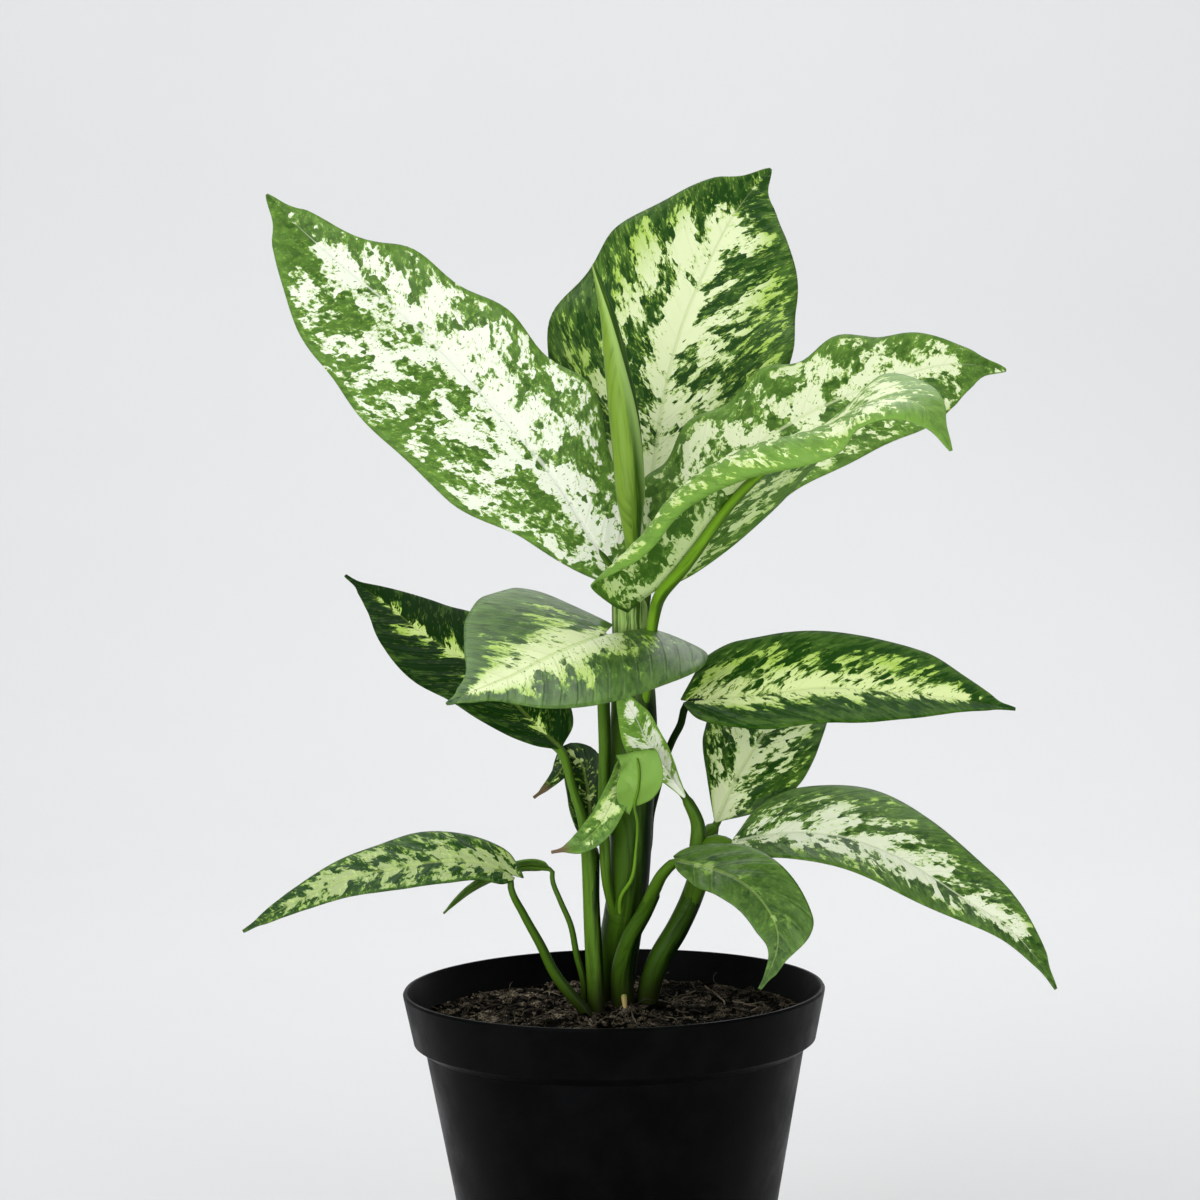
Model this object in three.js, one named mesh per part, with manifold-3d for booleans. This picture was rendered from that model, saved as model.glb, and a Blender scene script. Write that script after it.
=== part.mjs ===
// Potted dieffenbachia: a black nursery pot filled with soil, one main stem,
// three side shoots, a rolled young leaf and fifteen waved, patterned leaves.
// Units are millimetres, +Z is up, the pot axis is the Z axis, the floor is z = 0.
import * as THREE from 'three';
import { mergeVertices } from 'three/addons/utils/BufferGeometryUtils.js';
import Module from 'manifold-3d';

// ---------- pot ----------
const POT_HEIGHT = 108;
const RIM_RADIUS = 60;           // outside of the lip
const BAND_LOW_RADIUS = 57.2;    // outside of the rim band at its lower edge
const BAND_LOW_Z = 93.4;
const NECK_RADIUS = 53.9;        // body outside, just below the band
const NECK_Z = 91;
const FOOT_RADIUS = 37.6;
const WALL = 1.4;
const FLOOR_DISC_RADIUS = 14;    // flat disc in the middle of the base
const CHANNEL_OUTER_RADIUS = 32; // raised channel that holds the drain holes
const CHANNEL_RISE = 2.4;
const DRAIN_HOLES = 8;
const DRAIN_RADIUS = 3;
const DRAIN_CIRCLE = 24;
const POT_SIDES = 40;

// ---------- soil ----------
const CLEARANCE = 0.3;           // air left between neighbouring pieces
const HOLE_CLEARANCE = 0.7;      // air round a stem in its hole in the soil
const SOIL_BOTTOM_Z = 4.3;
const SOIL_TOP_Z = 99.6;         // at the pot wall
const SOIL_MOUND = 1.0;          // extra height round the stems
const SOIL_ROUGHNESS = 1.1;
const SOIL_RINGS = [10, 20, 30, 40, 50];
const CRUMB_COUNT = 16;
const CRUMB_SIZES = [1.6, 3.4];
const SEED = 7;

// ---------- leaves ----------
const BLADE_THICKNESS = 0.7;
const RIB_DEPTH = 0.9;           // midrib standing out below the blade, at its base
const LOBE_REACH = 0.6;          // part of the blade length that a back-swept lobe uses
const WAVE_LEAN = 0.6;           // how far a margin wave also moves the edge outwards
const SECTION_STEPS = 16;        // steps from midrib to margin when the section is summed
// half widths are given at these fractions of the blade length
const WIDTH_STATIONS = [0, 0.05, 0.15, 0.3, 0.5, 0.7, 0.85, 0.95, 1];

// ---------- stems ----------
const STEM_SIDES = 10;
const STEM_RINGS = 12;
const SCAR_HEIGHT = 0.35;        // leaf-scar ridges on the main stem

const COLOURS = {
  pot: 0x161819, soil: 0x33271e, stem: 0x5d9436, youngLeaf: 0xa9cf6a,
  leaf: 0x4f8f3a,
};

// Each leaf: petiole and midrib are points in space, face is the direction of the
// upper side from base to tip, fold and curl are degrees across each half of the
// blade, bend above 1 keeps that curl near the margin, wave is [height, count, phase],
// lobe is how far the base is swept back.
const LEAVES = [
  {
    name: 'leaf_crown_left', rows: 18, columns: 6,
    petiole: [[5, 4, 219], [4, 3, 223]],
    petioleRadius: [2, 1.8],
    midrib: [[2, 2, 227], [-5, 6, 237], [-12, 10, 249], [-24, 16, 264], [-39, 24, 281],
             [-54, 30, 296], [-71, 37, 310], [-87, 44, 324], [-97, 49, 334]],
    face: [[0.3, -0.9, 0.3], [0.2, -0.93, 0.25], [0.2, -0.93, 0.25]],
    left: {
      width: [4, 8, 17.5, 28.2, 30.8, 26.6, 15.8, 6, 0.4],
      fold: [2], curl: [-4], bend: 1,
      wave: [1, 4, 0.1], lobe: 6,
    },
    right: {
      width: [5, 9, 15.5, 23.5, 20.5, 15.5, 7.5, 3.5, 0.4],
      fold: [10, 24, 30, 30], curl: [-16], bend: 1,
      wave: [2, 5, 0.75], lobe: 3,
    },
  },
  {
    name: 'leaf_crown_back', rows: 18, columns: 6,
    petiole: [[8, 10, 219], [9, 11, 223.5]],
    petioleRadius: [2.2, 1.8],
    midrib: [[10, 14, 229], [14, 32, 253], [18, 46, 275], [24, 58, 295], [31, 67, 310],
             [40, 75, 326], [51, 81, 339]],
    face: [[-0.1, -0.9, 0.4], [-0.15, -0.85, 0.4]],
    left: {
      width: [4, 11, 22, 32, 37, 31, 19.7, 6.8, 0.4],
      fold: [10], curl: [-12], bend: 1,
      wave: [1.8, 4.5, 0.9], lobe: 0,
    },
    right: {
      width: [4, 10, 19.5, 29.3, 34.4, 31, 19, 6.1, 0.4],
      fold: [10], curl: [-12], bend: 1,
      wave: [1.4, 3.5, 0.3], lobe: 0,
    },
  },
  {
    name: 'leaf_crown_right', rows: 18, columns: 6,
    petiole: [[10.5, 5.5, 219], [11, 4, 225]],
    petioleRadius: [2, 1.8],
    midrib: [[13, 4, 231], [27, 9, 246], [44, 15, 261], [65, 21, 272], [82, 26, 278],
             [100, 30, 282], [116, 32, 280]],
    face: [[-0.2, -0.85, 0.45], [-0.1, -0.8, 0.5]],
    left: {
      width: [3, 9.5, 16.5, 17.5, 17.5, 16.5, 8.5, 3.6, 0.4],
      fold: [10], curl: [-10], bend: 1,
      wave: [1.7, 5.5, 0.7], lobe: 0,
    },
    right: {
      width: [3, 8, 13.5, 18.2, 20, 19.2, 14, 4.2, 0.4],
      fold: [6], curl: [-8], bend: 1,
      wave: [1.6, 4, 0.2], lobe: 0,
    },
  },
  {
    name: 'leaf_crown_front', rows: 16, columns: 10,
    petiole: [[11.5, -0.5, 198], [12, 0.5, 207], [13.5, -3, 216]],
    petioleRadius: [1.5, 1.9],
    midrib: [[15, -10, 223], [24, -20, 235], [34, -31, 249], [46, -43, 261], [60, -55, 270],
             [73, -65, 277], [83, -73, 276], [91, -77, 264]],
    face: [[-0.45, 0.5, 0.72], [-0.45, 0.5, 0.72], [-0.3, 0.1, 0.9], [0.1, -0.5, 0.85],
           [0.5, -0.5, 0.6]],
    left: {
      width: [2, 8, 15, 21.5, 25, 20.5, 12, 4.5, 0.4],
      fold: [5], curl: [-15], bend: 1,
      wave: [0, 3, 0], lobe: 2,
    },
    right: {
      width: [15, 22, 25, 26, 25, 20, 12, 4.5, 0.4],
      fold: [32, 36, 25, 8, 0], curl: [-25, -165, -150, -60, -20], bend: 2.5,
      wave: [0, 3, 0], lobe: 13,
    },
  },
  {
    name: 'leaf_left_back', rows: 11, columns: 6,
    petiole: [[-6.5, 1.5, 143], [-8, 4, 155.5], [-11, 8, 165], [-12.5, 10.5, 171]],
    petioleRadius: [0.9, 1.4],
    midrib: [[-14, 12, 175], [-21, 18, 181], [-37, 28, 196], [-54, 38, 206], [-65, 46, 214],
             [-77, 53, 222]],
    face: [[0.3, -0.75, 0.55], [0.35, -0.75, 0.55]],
    left: {
      width: [1.5, 5, 9.5, 14, 16.5, 12, 5.5, 1.5, 0.4],
      fold: [5], curl: [-6], bend: 1,
      wave: [0, 3, 0], lobe: 0,
    },
    right: {
      width: [1.5, 8.5, 13.5, 15.5, 16, 12, 5.5, 1.2, 0.4],
      fold: [10], curl: [-10], bend: 1,
      wave: [0, 3, 0], lobe: 0,
    },
  },
  {
    name: 'leaf_front', rows: 12, columns: 6,
    petiole: [[-1.5, 1, 138.5], [-2, 0.5, 150.5], [-2, 0, 162], [-1.5, 0.5, 173],
              [-1.5, -2, 190.5], [-1.5, -7, 201]],
    petioleRadius: [1.5, 2],
    midrib: [[-1, -13, 210], [-8, -26, 209], [-17, -42, 207], [-26, -56, 204], [-34, -66, 202],
             [-43, -74, 199]],
    face: [[0.15, -0.5, 0.85], [0.3, -0.5, 0.8]],
    left: {
      width: [19, 27, 30.5, 28, 23, 14, 4.7, 2, 0.4],
      fold: [18, 8, 4], curl: [-14], bend: 1,
      wave: [0, 3, 0], lobe: 19,
    },
    right: {
      width: [13, 24, 29, 29, 24.5, 15.7, 5.6, 2, 0.4],
      fold: [8], curl: [-10], bend: 1,
      wave: [0, 3, 0], lobe: 10,
    },
  },
  {
    name: 'leaf_right', rows: 11, columns: 6,
    petiole: [[10.5, 11.5, 145.5], [11.5, 12, 155.5], [13.5, 11, 163.5], [16, 6.5, 173],
              [18, 3, 178.5], [20, 0.5, 182.5]],
    petioleRadius: [1, 1.1],
    midrib: [[23, -4, 190], [42, -9, 192], [60, -12, 194], [76, -14, 193], [95, -17, 191],
             [113, -19, 188]],
    face: [[0.05, -0.6, 0.8], [0.1, -0.5, 0.8]],
    left: {
      width: [4, 16, 21.5, 22.5, 21, 17, 8.5, 2.5, 0.4],
      fold: [10], curl: [-8], bend: 1,
      wave: [0, 3, 0], lobe: 3,
    },
    right: {
      width: [3, 9, 15, 19, 18.5, 13.5, 6, 2, 0.4],
      fold: [16], curl: [-10], bend: 1,
      wave: [0, 3, 0], lobe: 2,
    },
  },
  {
    name: 'leaf_right_up', rows: 11, columns: 6,
    petiole: [[26, 7.5, 146.5], [27.5, 10.5, 149.5]],
    petioleRadius: [0.9, 1.1],
    midrib: [[30, 12, 153], [36, 16, 165], [44, 24, 176], [51, 35, 185], [56, 48, 191],
             [61, 60, 197]],
    face: [[-0.1, -0.8, 0.55], [-0.1, -0.5, 0.85]],
    left: {
      width: [2, 4, 8, 15.5, 18.5, 17, 11.5, 4, 0.4],
      fold: [5], curl: [-8], bend: 1,
      wave: [0, 3, 0], lobe: 0,
    },
    right: {
      width: [2, 10, 16.5, 18, 16, 12, 6.5, 2.5, 0.4],
      fold: [5], curl: [-8], bend: 1,
      wave: [0, 3, 0], lobe: 0,
    },
  },
  {
    name: 'leaf_right_low', rows: 11, columns: 6,
    petiole: [[27, 1.5, 147.5], [30, 0.5, 149]],
    petioleRadius: [0.9, 1.2],
    midrib: [[34, -2, 149], [51, -10, 153], [67, -18, 152], [81, -24, 147], [95, -28, 138],
             [110, -32, 128], [122, -35, 112]],
    face: [[0.1, -0.6, 0.8], [0.45, -0.6, 0.65]],
    left: {
      width: [3, 12, 19, 22, 18.5, 14.5, 7.5, 3.2, 0.4],
      fold: [6], curl: [-10], bend: 1,
      wave: [0, 3, 0], lobe: 0,
    },
    right: {
      width: [2, 7, 13, 15.5, 15.5, 10, 5, 1.5, 0.4],
      fold: [16], curl: [-10], bend: 1,
      wave: [0, 3, 0], lobe: 0,
    },
  },
  {
    name: 'leaf_front_low', rows: 11, columns: 6,
    petiole: [[12, -5.5, 137], [14.5, -9, 142]],
    petioleRadius: [1.6, 1.3],
    midrib: [[18, -12, 146], [28, -22, 145], [35, -30, 143], [41, -35, 138], [45, -38, 130],
             [40, -38, 114]],
    face: [[0.1, -0.7, 0.7], [0.3, -0.8, 0.5], [0.5, -0.7, 0.4]],
    left: {
      width: [6, 7, 9.5, 12.5, 12.5, 12.3, 3.8, 1.8, 0.4],
      fold: [0], curl: [0], bend: 1,
      wave: [0, 3, 0], lobe: 10,
    },
    right: {
      width: [1.5, 3.5, 6, 8.4, 7.5, 6.2, 1.7, 0.7, 0.4],
      fold: [0], curl: [0], bend: 1,
      wave: [0, 3, 0], lobe: 0,
    },
  },
  {
    name: 'leaf_left_low', rows: 11, columns: 6,
    petiole: [[-7.5, -4.5, 92], [-7.5, -4.5, 97], [-7.7, -4.5, 100.4], [-8.9, -4.7, 103.1],
              [-11, -5, 105.5], [-16.5, -6, 113], [-20.5, -8, 122], [-25, -10, 131],
              [-28.5, -12, 139.5]],
    petioleRadius: [2, 0.9],
    midrib: [[-29, -12, 143], [-38, -16, 147], [-49, -20, 148], [-60, -24, 147], [-73, -28, 145],
             [-86, -31, 140], [-102, -35, 132]],
    face: [[0.1, -0.6, 0.8], [-0.2, -0.6, 0.75]],
    left: {
      width: [3, 5, 6.5, 8, 7.3, 5, 2.8, 1.2, 0.4],
      fold: [0], curl: [-5], bend: 1,
      wave: [0, 3, 0], lobe: 2,
    },
    right: {
      width: [4, 8, 9.6, 11.4, 8.8, 5.8, 3.3, 1.3, 0.4],
      fold: [8], curl: [-8], bend: 1,
      wave: [0, 3, 0], lobe: 5,
    },
  },
  {
    name: 'leaf_left_thin', rows: 8, columns: 4,
    petiole: [[-8.5, 4.5, 92], [-8.5, 4.5, 103], [-8.5, 4, 108], [-10.5, 3.5, 117],
              [-12, 3, 125.5], [-15, 3, 133], [-17, 4, 138.5]],
    petioleRadius: [1.2, 0.7],
    midrib: [[-18, 4, 142], [-24, 3, 143], [-32, 2, 141], [-40, 1, 137], [-48, 0, 130]],
    face: [[-0.2, 0.45, 0.85], [-0.4, 0.3, 0.8]],
    left: {
      width: [1, 3, 4.5, 5, 5, 4, 2.5, 1, 0.4],
      fold: [0], curl: [0], bend: 1,
      wave: [0, 3, 0], lobe: 0,
    },
    right: {
      width: [1, 3, 4.5, 5, 5, 4, 2.5, 1, 0.4],
      fold: [0], curl: [0], bend: 1,
      wave: [0, 3, 0], lobe: 0,
    },
  },
  {
    name: 'leaf_shoot_pale', rows: 8, columns: 4,
    petiole: [[24.5, 2, 147.5], [24.5, 2, 154.5], [22.5, 1.5, 159.5]],
    petioleRadius: [1.5, 1.2],
    midrib: [[21, 1, 162], [16, -1, 170], [11, -4, 178], [7, -8, 187], [2, -12, 195]],
    face: [[-0.1, -1, 0.1], [-0.1, -1, 0.2]],
    left: {
      width: [1.2, 3, 5, 6.5, 7, 6, 4, 1.5, 0.4],
      fold: [30], curl: [-10], bend: 1,
      wave: [0, 3, 0], lobe: 0,
    },
    right: {
      width: [1.2, 2.5, 4, 5, 5.5, 5, 3, 1.5, 0.4],
      fold: [35], curl: [-10], bend: 1,
      wave: [0, 3, 0], lobe: 0,
    },
  },
  {
    name: 'leaf_curled', rows: 14, columns: 4,
    petiole: [[2.5, 0.5, 134], [5.5, -1, 139], [7, -1.5, 147.5], [7.5, -4, 155]],
    petioleRadius: [0.6, 0.7],
    midrib: [[7, -10, 163], [8, -13, 168], [8, -14, 174], [7, -14, 177], [6, -10, 175],
             [4, -9, 169], [1, -8, 163], [-3, -8, 156], [-8, -7, 151], [-17, -6, 148]],
    face: [[0, 1, 0.1], [0, 1, 0], [0, 0.1, -1], [0.1, -1, -0.1], [0.2, -1, 0.1], [0.1, -1, 0.4],
           [0, -0.6, 0.8]],
    left: {
      width: [2, 4.5, 6.6, 5.5, 4, 4, 3, 0.9, 0.4],
      fold: [8], curl: [0], bend: 1,
      wave: [0, 3, 0], lobe: 2,
    },
    right: {
      width: [2.5, 5, 6.4, 5.2, 4, 4, 3, 0.9, 0.4],
      fold: [8], curl: [0], bend: 1,
      wave: [0, 3, 0], lobe: 6,
    },
  },
  {
    name: 'leaf_left_tuft', rows: 9, columns: 4,
    petiole: [[-5.5, 4, 143], [-5.5, 5, 146]],
    petioleRadius: [0.8, 0.9],
    midrib: [[-6, 6, 148], [-6, 10, 156], [-7, 14, 165], [-9, 16, 171], [-11, 16, 172],
             [-15, 15, 167], [-18, 14, 164], [-22, 12, 161]],
    face: [[0.1, -1, 0.2], [0.1, -1, 0.2], [0, -1, 0.3], [-0.3, -0.9, 0.4], [-0.3, -0.8, 0.5]],
    left: {
      width: [1, 3, 5, 6.2, 6, 3, 1.5, 0.7, 0.4],
      fold: [10], curl: [0], bend: 1,
      wave: [0, 3, 0], lobe: 0,
    },
    right: {
      width: [1, 3, 4.8, 6, 6, 3, 1.5, 0.7, 0.4],
      fold: [10], curl: [0], bend: 1,
      wave: [0, 3, 0], lobe: 0,
    },
  },
];

const STEMS = {
  stem_main: {
    path: [[0, 17, 92], [0, 17, 103], [2, 12, 119.5], [4, 8, 131.5], [5, 6.5, 141], [6, 6, 160.5],
           [7, 6, 189.5], [6.5, 6, 212.5], [6.5, 6, 218]],
    radius: [3.5, 5.8, 5.9, 5.9, 6.1, 7, 6.4, 5.2, 4.8],
  },
  shoot_left: {
    path: [[-5, 1, 92], [-5, 1, 101], [-5.5, 1, 115.5], [-6, 1.5, 133], [-6, 2, 142.5]],
    radius: [1.8, 2.5, 2.5, 2.4, 2.3],
  },
  shoot_front: {
    path: [[2.5, 6.5, 92], [2.5, 6.5, 101], [2.5, 4.5, 112.5], [5, 1.5, 122], [9, -1, 129.5],
           [12, -5, 136.5]],
    radius: [2.2, 3.3, 3.1, 2.6, 2.3, 2.1],
  },
  shoot_right: {
    path: [[9.5, 9.5, 92], [9.5, 9.5, 102], [13, 8, 114], [18.5, 7, 123.5], [22.5, 6, 132],
           [25, 5, 140], [25.5, 4, 146.5]],
    radius: [2.2, 3.2, 3.3, 3.3, 3.2, 3.1, 2.7],
  },
  young_leaf_rolled: {
    path: [[8.5, 2, 219.5], [7.5, -1.5, 233.5], [7, -1, 249.5], [6, 1, 266.5], [4, 4, 283],
           [1.5, 8, 298.5], [-2.5, 12, 313]],
    radius: [1.3, 2.2, 4.2, 4.3, 3.6, 2.2, 0.4],
  },
};

const STEM_COLOUR = {
  stem_main: COLOURS.stem, shoot_left: COLOURS.stem, shoot_front: COLOURS.stem,
  shoot_right: COLOURS.stem, young_leaf_rolled: COLOURS.youngLeaf,
};

const wasm = await Module();
wasm.setup();

// ---------- small helpers ----------
const radians = (degrees) => degrees * Math.PI / 180;
const vec = (p) => new THREE.Vector3(...p);

function seededRandom(seed) {
  let state = seed;
  return () => {
    state = (state * 1664525 + 1013904223) % 4294967296;
    return state / 4294967296;
  };
}

// Value at t of a monotone curve through the given values.
function through(values, t, stations) {
  const n = values.length;
  if (n === 1) return values[0];
  const x = stations ?? values.map((_, i) => i / (n - 1));
  const slope = [];
  for (let i = 0; i < n - 1; i++) slope.push((values[i + 1] - values[i]) / (x[i + 1] - x[i]));
  const tangent = (i) => {
    if (i === 0) return slope[0];
    if (i === n - 1) return slope[n - 2];
    const [a, b] = [slope[i - 1], slope[i]];
    return a * b <= 0 ? 0 : 2 * a * b / (a + b);
  };
  let k = 0;
  while (k < n - 2 && t >= x[k + 1]) k++;
  const h = x[k + 1] - x[k];
  const s = (t - x[k]) / h;
  return (2 * s ** 3 - 3 * s ** 2 + 1) * values[k] + (s ** 3 - 2 * s ** 2 + s) * h * tangent(k)
    + (3 * s ** 2 - 2 * s ** 3) * values[k + 1] + (s ** 3 - s ** 2) * h * tangent(k + 1);
}

// Smooth path through points, spaced by chord length: position and direction at t.
function pathThrough(points) {
  const p = points.map(vec);
  const n = p.length;
  const d = [0];
  for (let i = 1; i < n; i++) d.push(d[i - 1] + p[i].distanceTo(p[i - 1]));
  const x = d.map((v) => v / d[n - 1]);
  const chord = (i) => p[i + 1].clone().sub(p[i]).divideScalar(x[i + 1] - x[i]);
  const m = p.map(() => new THREE.Vector3());
  for (let i = 1; i < n - 1; i++) {
    const [h0, h1] = [x[i] - x[i - 1], x[i + 1] - x[i]];
    m[i].addScaledVector(chord(i - 1), h1 / (h0 + h1)).addScaledVector(chord(i), h0 / (h0 + h1));
  }
  const end = (i, inner) => chord(i).multiplyScalar(1.5).addScaledVector(m[inner], -0.5);
  m[0] = n > 2 ? end(0, 1) : chord(0);
  m[n - 1] = n > 2 ? end(n - 2, n - 2) : chord(0);
  return (t) => {
    let k = 0;
    while (k < n - 2 && t >= x[k + 1]) k++;
    const h = x[k + 1] - x[k];
    const s = (t - x[k]) / h;
    const mix = (a, b, c, e) => new THREE.Vector3().addScaledVector(p[k], a)
      .addScaledVector(m[k], b).addScaledVector(p[k + 1], c).addScaledVector(m[k + 1], e);
    return {
      point: mix(2 * s ** 3 - 3 * s ** 2 + 1, (s ** 3 - 2 * s ** 2 + s) * h,
        3 * s ** 2 - 2 * s ** 3, (s ** 3 - s ** 2) * h),
      along: mix((6 * s ** 2 - 6 * s) / h, 3 * s ** 2 - 4 * s + 1,
        (6 * s - 6 * s ** 2) / h, 3 * s ** 2 - 2 * s).normalize(),
    };
  };
}

// Closed solid through rings with the same number of points. Both faces of a thin
// ring are split along the same diagonal, so a waved blade never crosses itself.
function loft(rings) {
  const size = rings[0].length;
  const positions = rings.flat().flatMap((p) => [p.x, p.y, p.z]);
  const index = [];
  for (let i = 0; i < rings.length - 1; i++) {
    for (let j = 0; j < size; j++) {
      const a = i * size + j;
      const b = i * size + (j + 1) % size;
      const [c, d] = [a + size, b + size];
      if (j < size / 2) index.push(a, d, c, a, b, d);
      else index.push(a, b, c, b, d, c);
    }
  }
  const last = (rings.length - 1) * size;
  for (let j = 1; j < size - 1; j++) {
    index.push(0, j + 1, j, last, last + j, last + j + 1);
  }
  const geometry = new THREE.BufferGeometry();
  geometry.setAttribute('position', new THREE.Float32BufferAttribute(positions, 3));
  geometry.setIndex(index);
  return geometry;
}

// ---------- joining and cutting ----------
function toSolid(geometry) {
  const plain = geometry.clone();
  plain.deleteAttribute('normal');
  plain.deleteAttribute('uv');
  const merged = mergeVertices(plain, 1e-4);
  return new wasm.Manifold(new wasm.Mesh({
    numProp: 3,
    vertProperties: new Float32Array(merged.attributes.position.array),
    triVerts: new Uint32Array(merged.index.array),
  }));
}

function toGeometry(solid) {
  const mesh = solid.getMesh();
  const geometry = new THREE.BufferGeometry();
  const positions = new THREE.Float32BufferAttribute(Array.from(mesh.vertProperties), 3);
  geometry.setAttribute('position', positions);
  geometry.setIndex(Array.from(mesh.triVerts));
  return geometry;
}

function cylinder(radius, z0, z1, x, y, sides) {
  const g = new THREE.CylinderGeometry(radius, radius, z1 - z0, sides);
  g.rotateX(Math.PI / 2);
  g.translate(x, y, (z0 + z1) / 2);
  return toSolid(g);
}

function lathe(profile, sides) {
  const points = profile.map(([r, z]) => new THREE.Vector2(r, z));
  const g = new THREE.LatheGeometry(points, sides);
  g.rotateX(Math.PI / 2);
  return toSolid(g);
}

// ---------- pot ----------
function bodyRadius(z) {
  return FOOT_RADIUS + (NECK_RADIUS - FOOT_RADIUS) * z / NECK_Z;
}

function potProfile() {
  const rimInner = RIM_RADIUS - WALL;
  const bandInner = BAND_LOW_RADIUS - WALL;
  const footInner = CHANNEL_OUTER_RADIUS + 1.5;
  const inside = (z) => bodyRadius(z) - WALL;
  return [
    [0, 0], [FLOOR_DISC_RADIUS, 0], [FLOOR_DISC_RADIUS + 1.8, CHANNEL_RISE],
    [CHANNEL_OUTER_RADIUS, CHANNEL_RISE], [footInner, 0],
    [FOOT_RADIUS - 0.6, 0], [FOOT_RADIUS, 0.7], [NECK_RADIUS, NECK_Z],
    [BAND_LOW_RADIUS, BAND_LOW_Z], [RIM_RADIUS - 0.15, POT_HEIGHT - 1.6],
    [RIM_RADIUS, POT_HEIGHT - 0.7], [RIM_RADIUS - 0.5, POT_HEIGHT],
    [rimInner + 0.3, POT_HEIGHT], [rimInner - 0.1, POT_HEIGHT - 0.6],
    [bandInner, BAND_LOW_Z + 1.4], [inside(NECK_Z), NECK_Z + 0.6],
    [inside(1.6), 1.6], [footInner + 0.4, 1.6],
    [CHANNEL_OUTER_RADIUS - 0.2, CHANNEL_RISE + 1.6],
    [FLOOR_DISC_RADIUS + 2.2, CHANNEL_RISE + 1.6], [FLOOR_DISC_RADIUS, 1.6], [0, 1.6],
  ];
}

function makePot() {
  let pot = lathe(potProfile(), POT_SIDES);
  for (let i = 0; i < DRAIN_HOLES; i++) {
    const a = 2 * Math.PI * i / DRAIN_HOLES;
    const [x, y] = [DRAIN_CIRCLE * Math.cos(a), DRAIN_CIRCLE * Math.sin(a)];
    pot = pot.subtract(cylinder(DRAIN_RADIUS, -1, CHANNEL_RISE + 3, x, y, 8));
  }
  return toGeometry(pot);
}

// ---------- soil ----------
function soilHeight(r, random) {
  const mound = SOIL_MOUND * Math.exp(-((r / 24) ** 2));
  const rough = SOIL_ROUGHNESS * Math.min(1, r / 24);
  return SOIL_TOP_Z + mound + rough * (2 * random() - 1);
}

function bandInside(z) {
  const rimInner = RIM_RADIUS - WALL - 0.1;
  const bandInner = BAND_LOW_RADIUS - WALL;
  const low = BAND_LOW_Z + 1.4;
  return bandInner + (rimInner - bandInner) * (z - low) / (POT_HEIGHT - 0.6 - low);
}

// Rings from the middle of the top, out to the wall, down and in along the bottom.
function soilBlock(random) {
  const wallGap = CLEARANCE + 0.2;
  const edgeZ = SOIL_TOP_Z - 0.4;
  const lower = [
    [bandInside(edgeZ) - wallGap, edgeZ],
    [BAND_LOW_RADIUS - WALL - wallGap, BAND_LOW_Z + 1.4],
    [bodyRadius(NECK_Z) - WALL - wallGap, NECK_Z + 0.3],
    [bodyRadius(SOIL_BOTTOM_Z) - WALL - wallGap, SOIL_BOTTOM_Z],
  ];
  const ring = (radius, height) => {
    const points = [];
    for (let i = 0; i < POT_SIDES; i++) {
      const a = -2 * Math.PI * i / POT_SIDES;
      points.push(new THREE.Vector3(radius * Math.cos(a), radius * Math.sin(a), height()));
    }
    return points;
  };
  const top = SOIL_RINGS.map((r) => ring(r, () => soilHeight(r, random)));
  const side = lower.map(([r, z]) => ring(r, () => z));
  return loft([...top, ...side]);
}

function soilCrumb(random) {
  const size = CRUMB_SIZES[0] + (CRUMB_SIZES[1] - CRUMB_SIZES[0]) * random();
  const g = new THREE.IcosahedronGeometry(size, 0);
  g.rotateX(6 * random());
  g.rotateY(6 * random());
  g.scale(1 + 0.5 * random(), 1, 0.7);
  const a = 2 * Math.PI * random();
  const r = 14 + 36 * Math.sqrt(random());
  g.translate(r * Math.cos(a), r * Math.sin(a), SOIL_TOP_Z - size * 0.1);
  return toSolid(g);
}

// Plain holes for everything that stands in the soil.
function plantHoles() {
  const holes = Object.values(STEMS)
    .filter((stem) => stem.path[0][2] < SOIL_TOP_Z)
    .map((stem) => ({ at: stem.path[0], radius: Math.max(...stem.radius.slice(0, 3)) }));
  for (const leaf of LEAVES) {
    if (leaf.petiole[0][2] < SOIL_TOP_Z) {
      holes.push({ at: leaf.petiole[0], radius: leaf.petioleRadius[0] });
    }
  }
  return holes.map(({ at: [x, y, z], radius }) => (
    cylinder(radius + HOLE_CLEARANCE, z - 1, SOIL_TOP_Z + 20, x, y, 12)));
}

function makeSoil() {
  const random = seededRandom(SEED);
  let soil = toSolid(soilBlock(random));
  for (let i = 0; i < CRUMB_COUNT; i++) soil = soil.add(soilCrumb(random));
  for (const hole of plantHoles()) soil = soil.subtract(hole);
  return toGeometry(soil);
}

// ---------- stems ----------
function makeStem({ path, radius }, scars) {
  const at = pathThrough(path);
  const rings = [];
  const rows = STEM_RINGS;
  for (let i = 0; i <= rows; i++) {
    const { point, along } = at(i / rows);
    const side = along.clone().cross(new THREE.Vector3(0, 1, 0)).normalize();
    const back = side.clone().cross(along);
    const ridge = scars && i % 2 === 0 ? SCAR_HEIGHT : 0;
    const r = through(radius, i / rows) + ridge;
    const ring = [];
    for (let j = 0; j < STEM_SIDES; j++) {
      const a = -2 * Math.PI * j / STEM_SIDES;
      ring.push(point.clone().addScaledVector(side, r * Math.cos(a))
        .addScaledVector(back, r * Math.sin(a)));
    }
    rings.push(ring);
  }
  return loft(rings);
}

// ---------- leaves ----------
// Rows crowd towards the base and the tip, where the outline turns quickest.
function rowStations(rows) {
  const stations = [];
  for (let i = 0; i <= rows; i++) {
    const k = i / rows;
    stations.push(0.45 * k + 0.55 * (0.5 - 0.5 * Math.cos(Math.PI * k)));
  }
  return stations;
}

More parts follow.
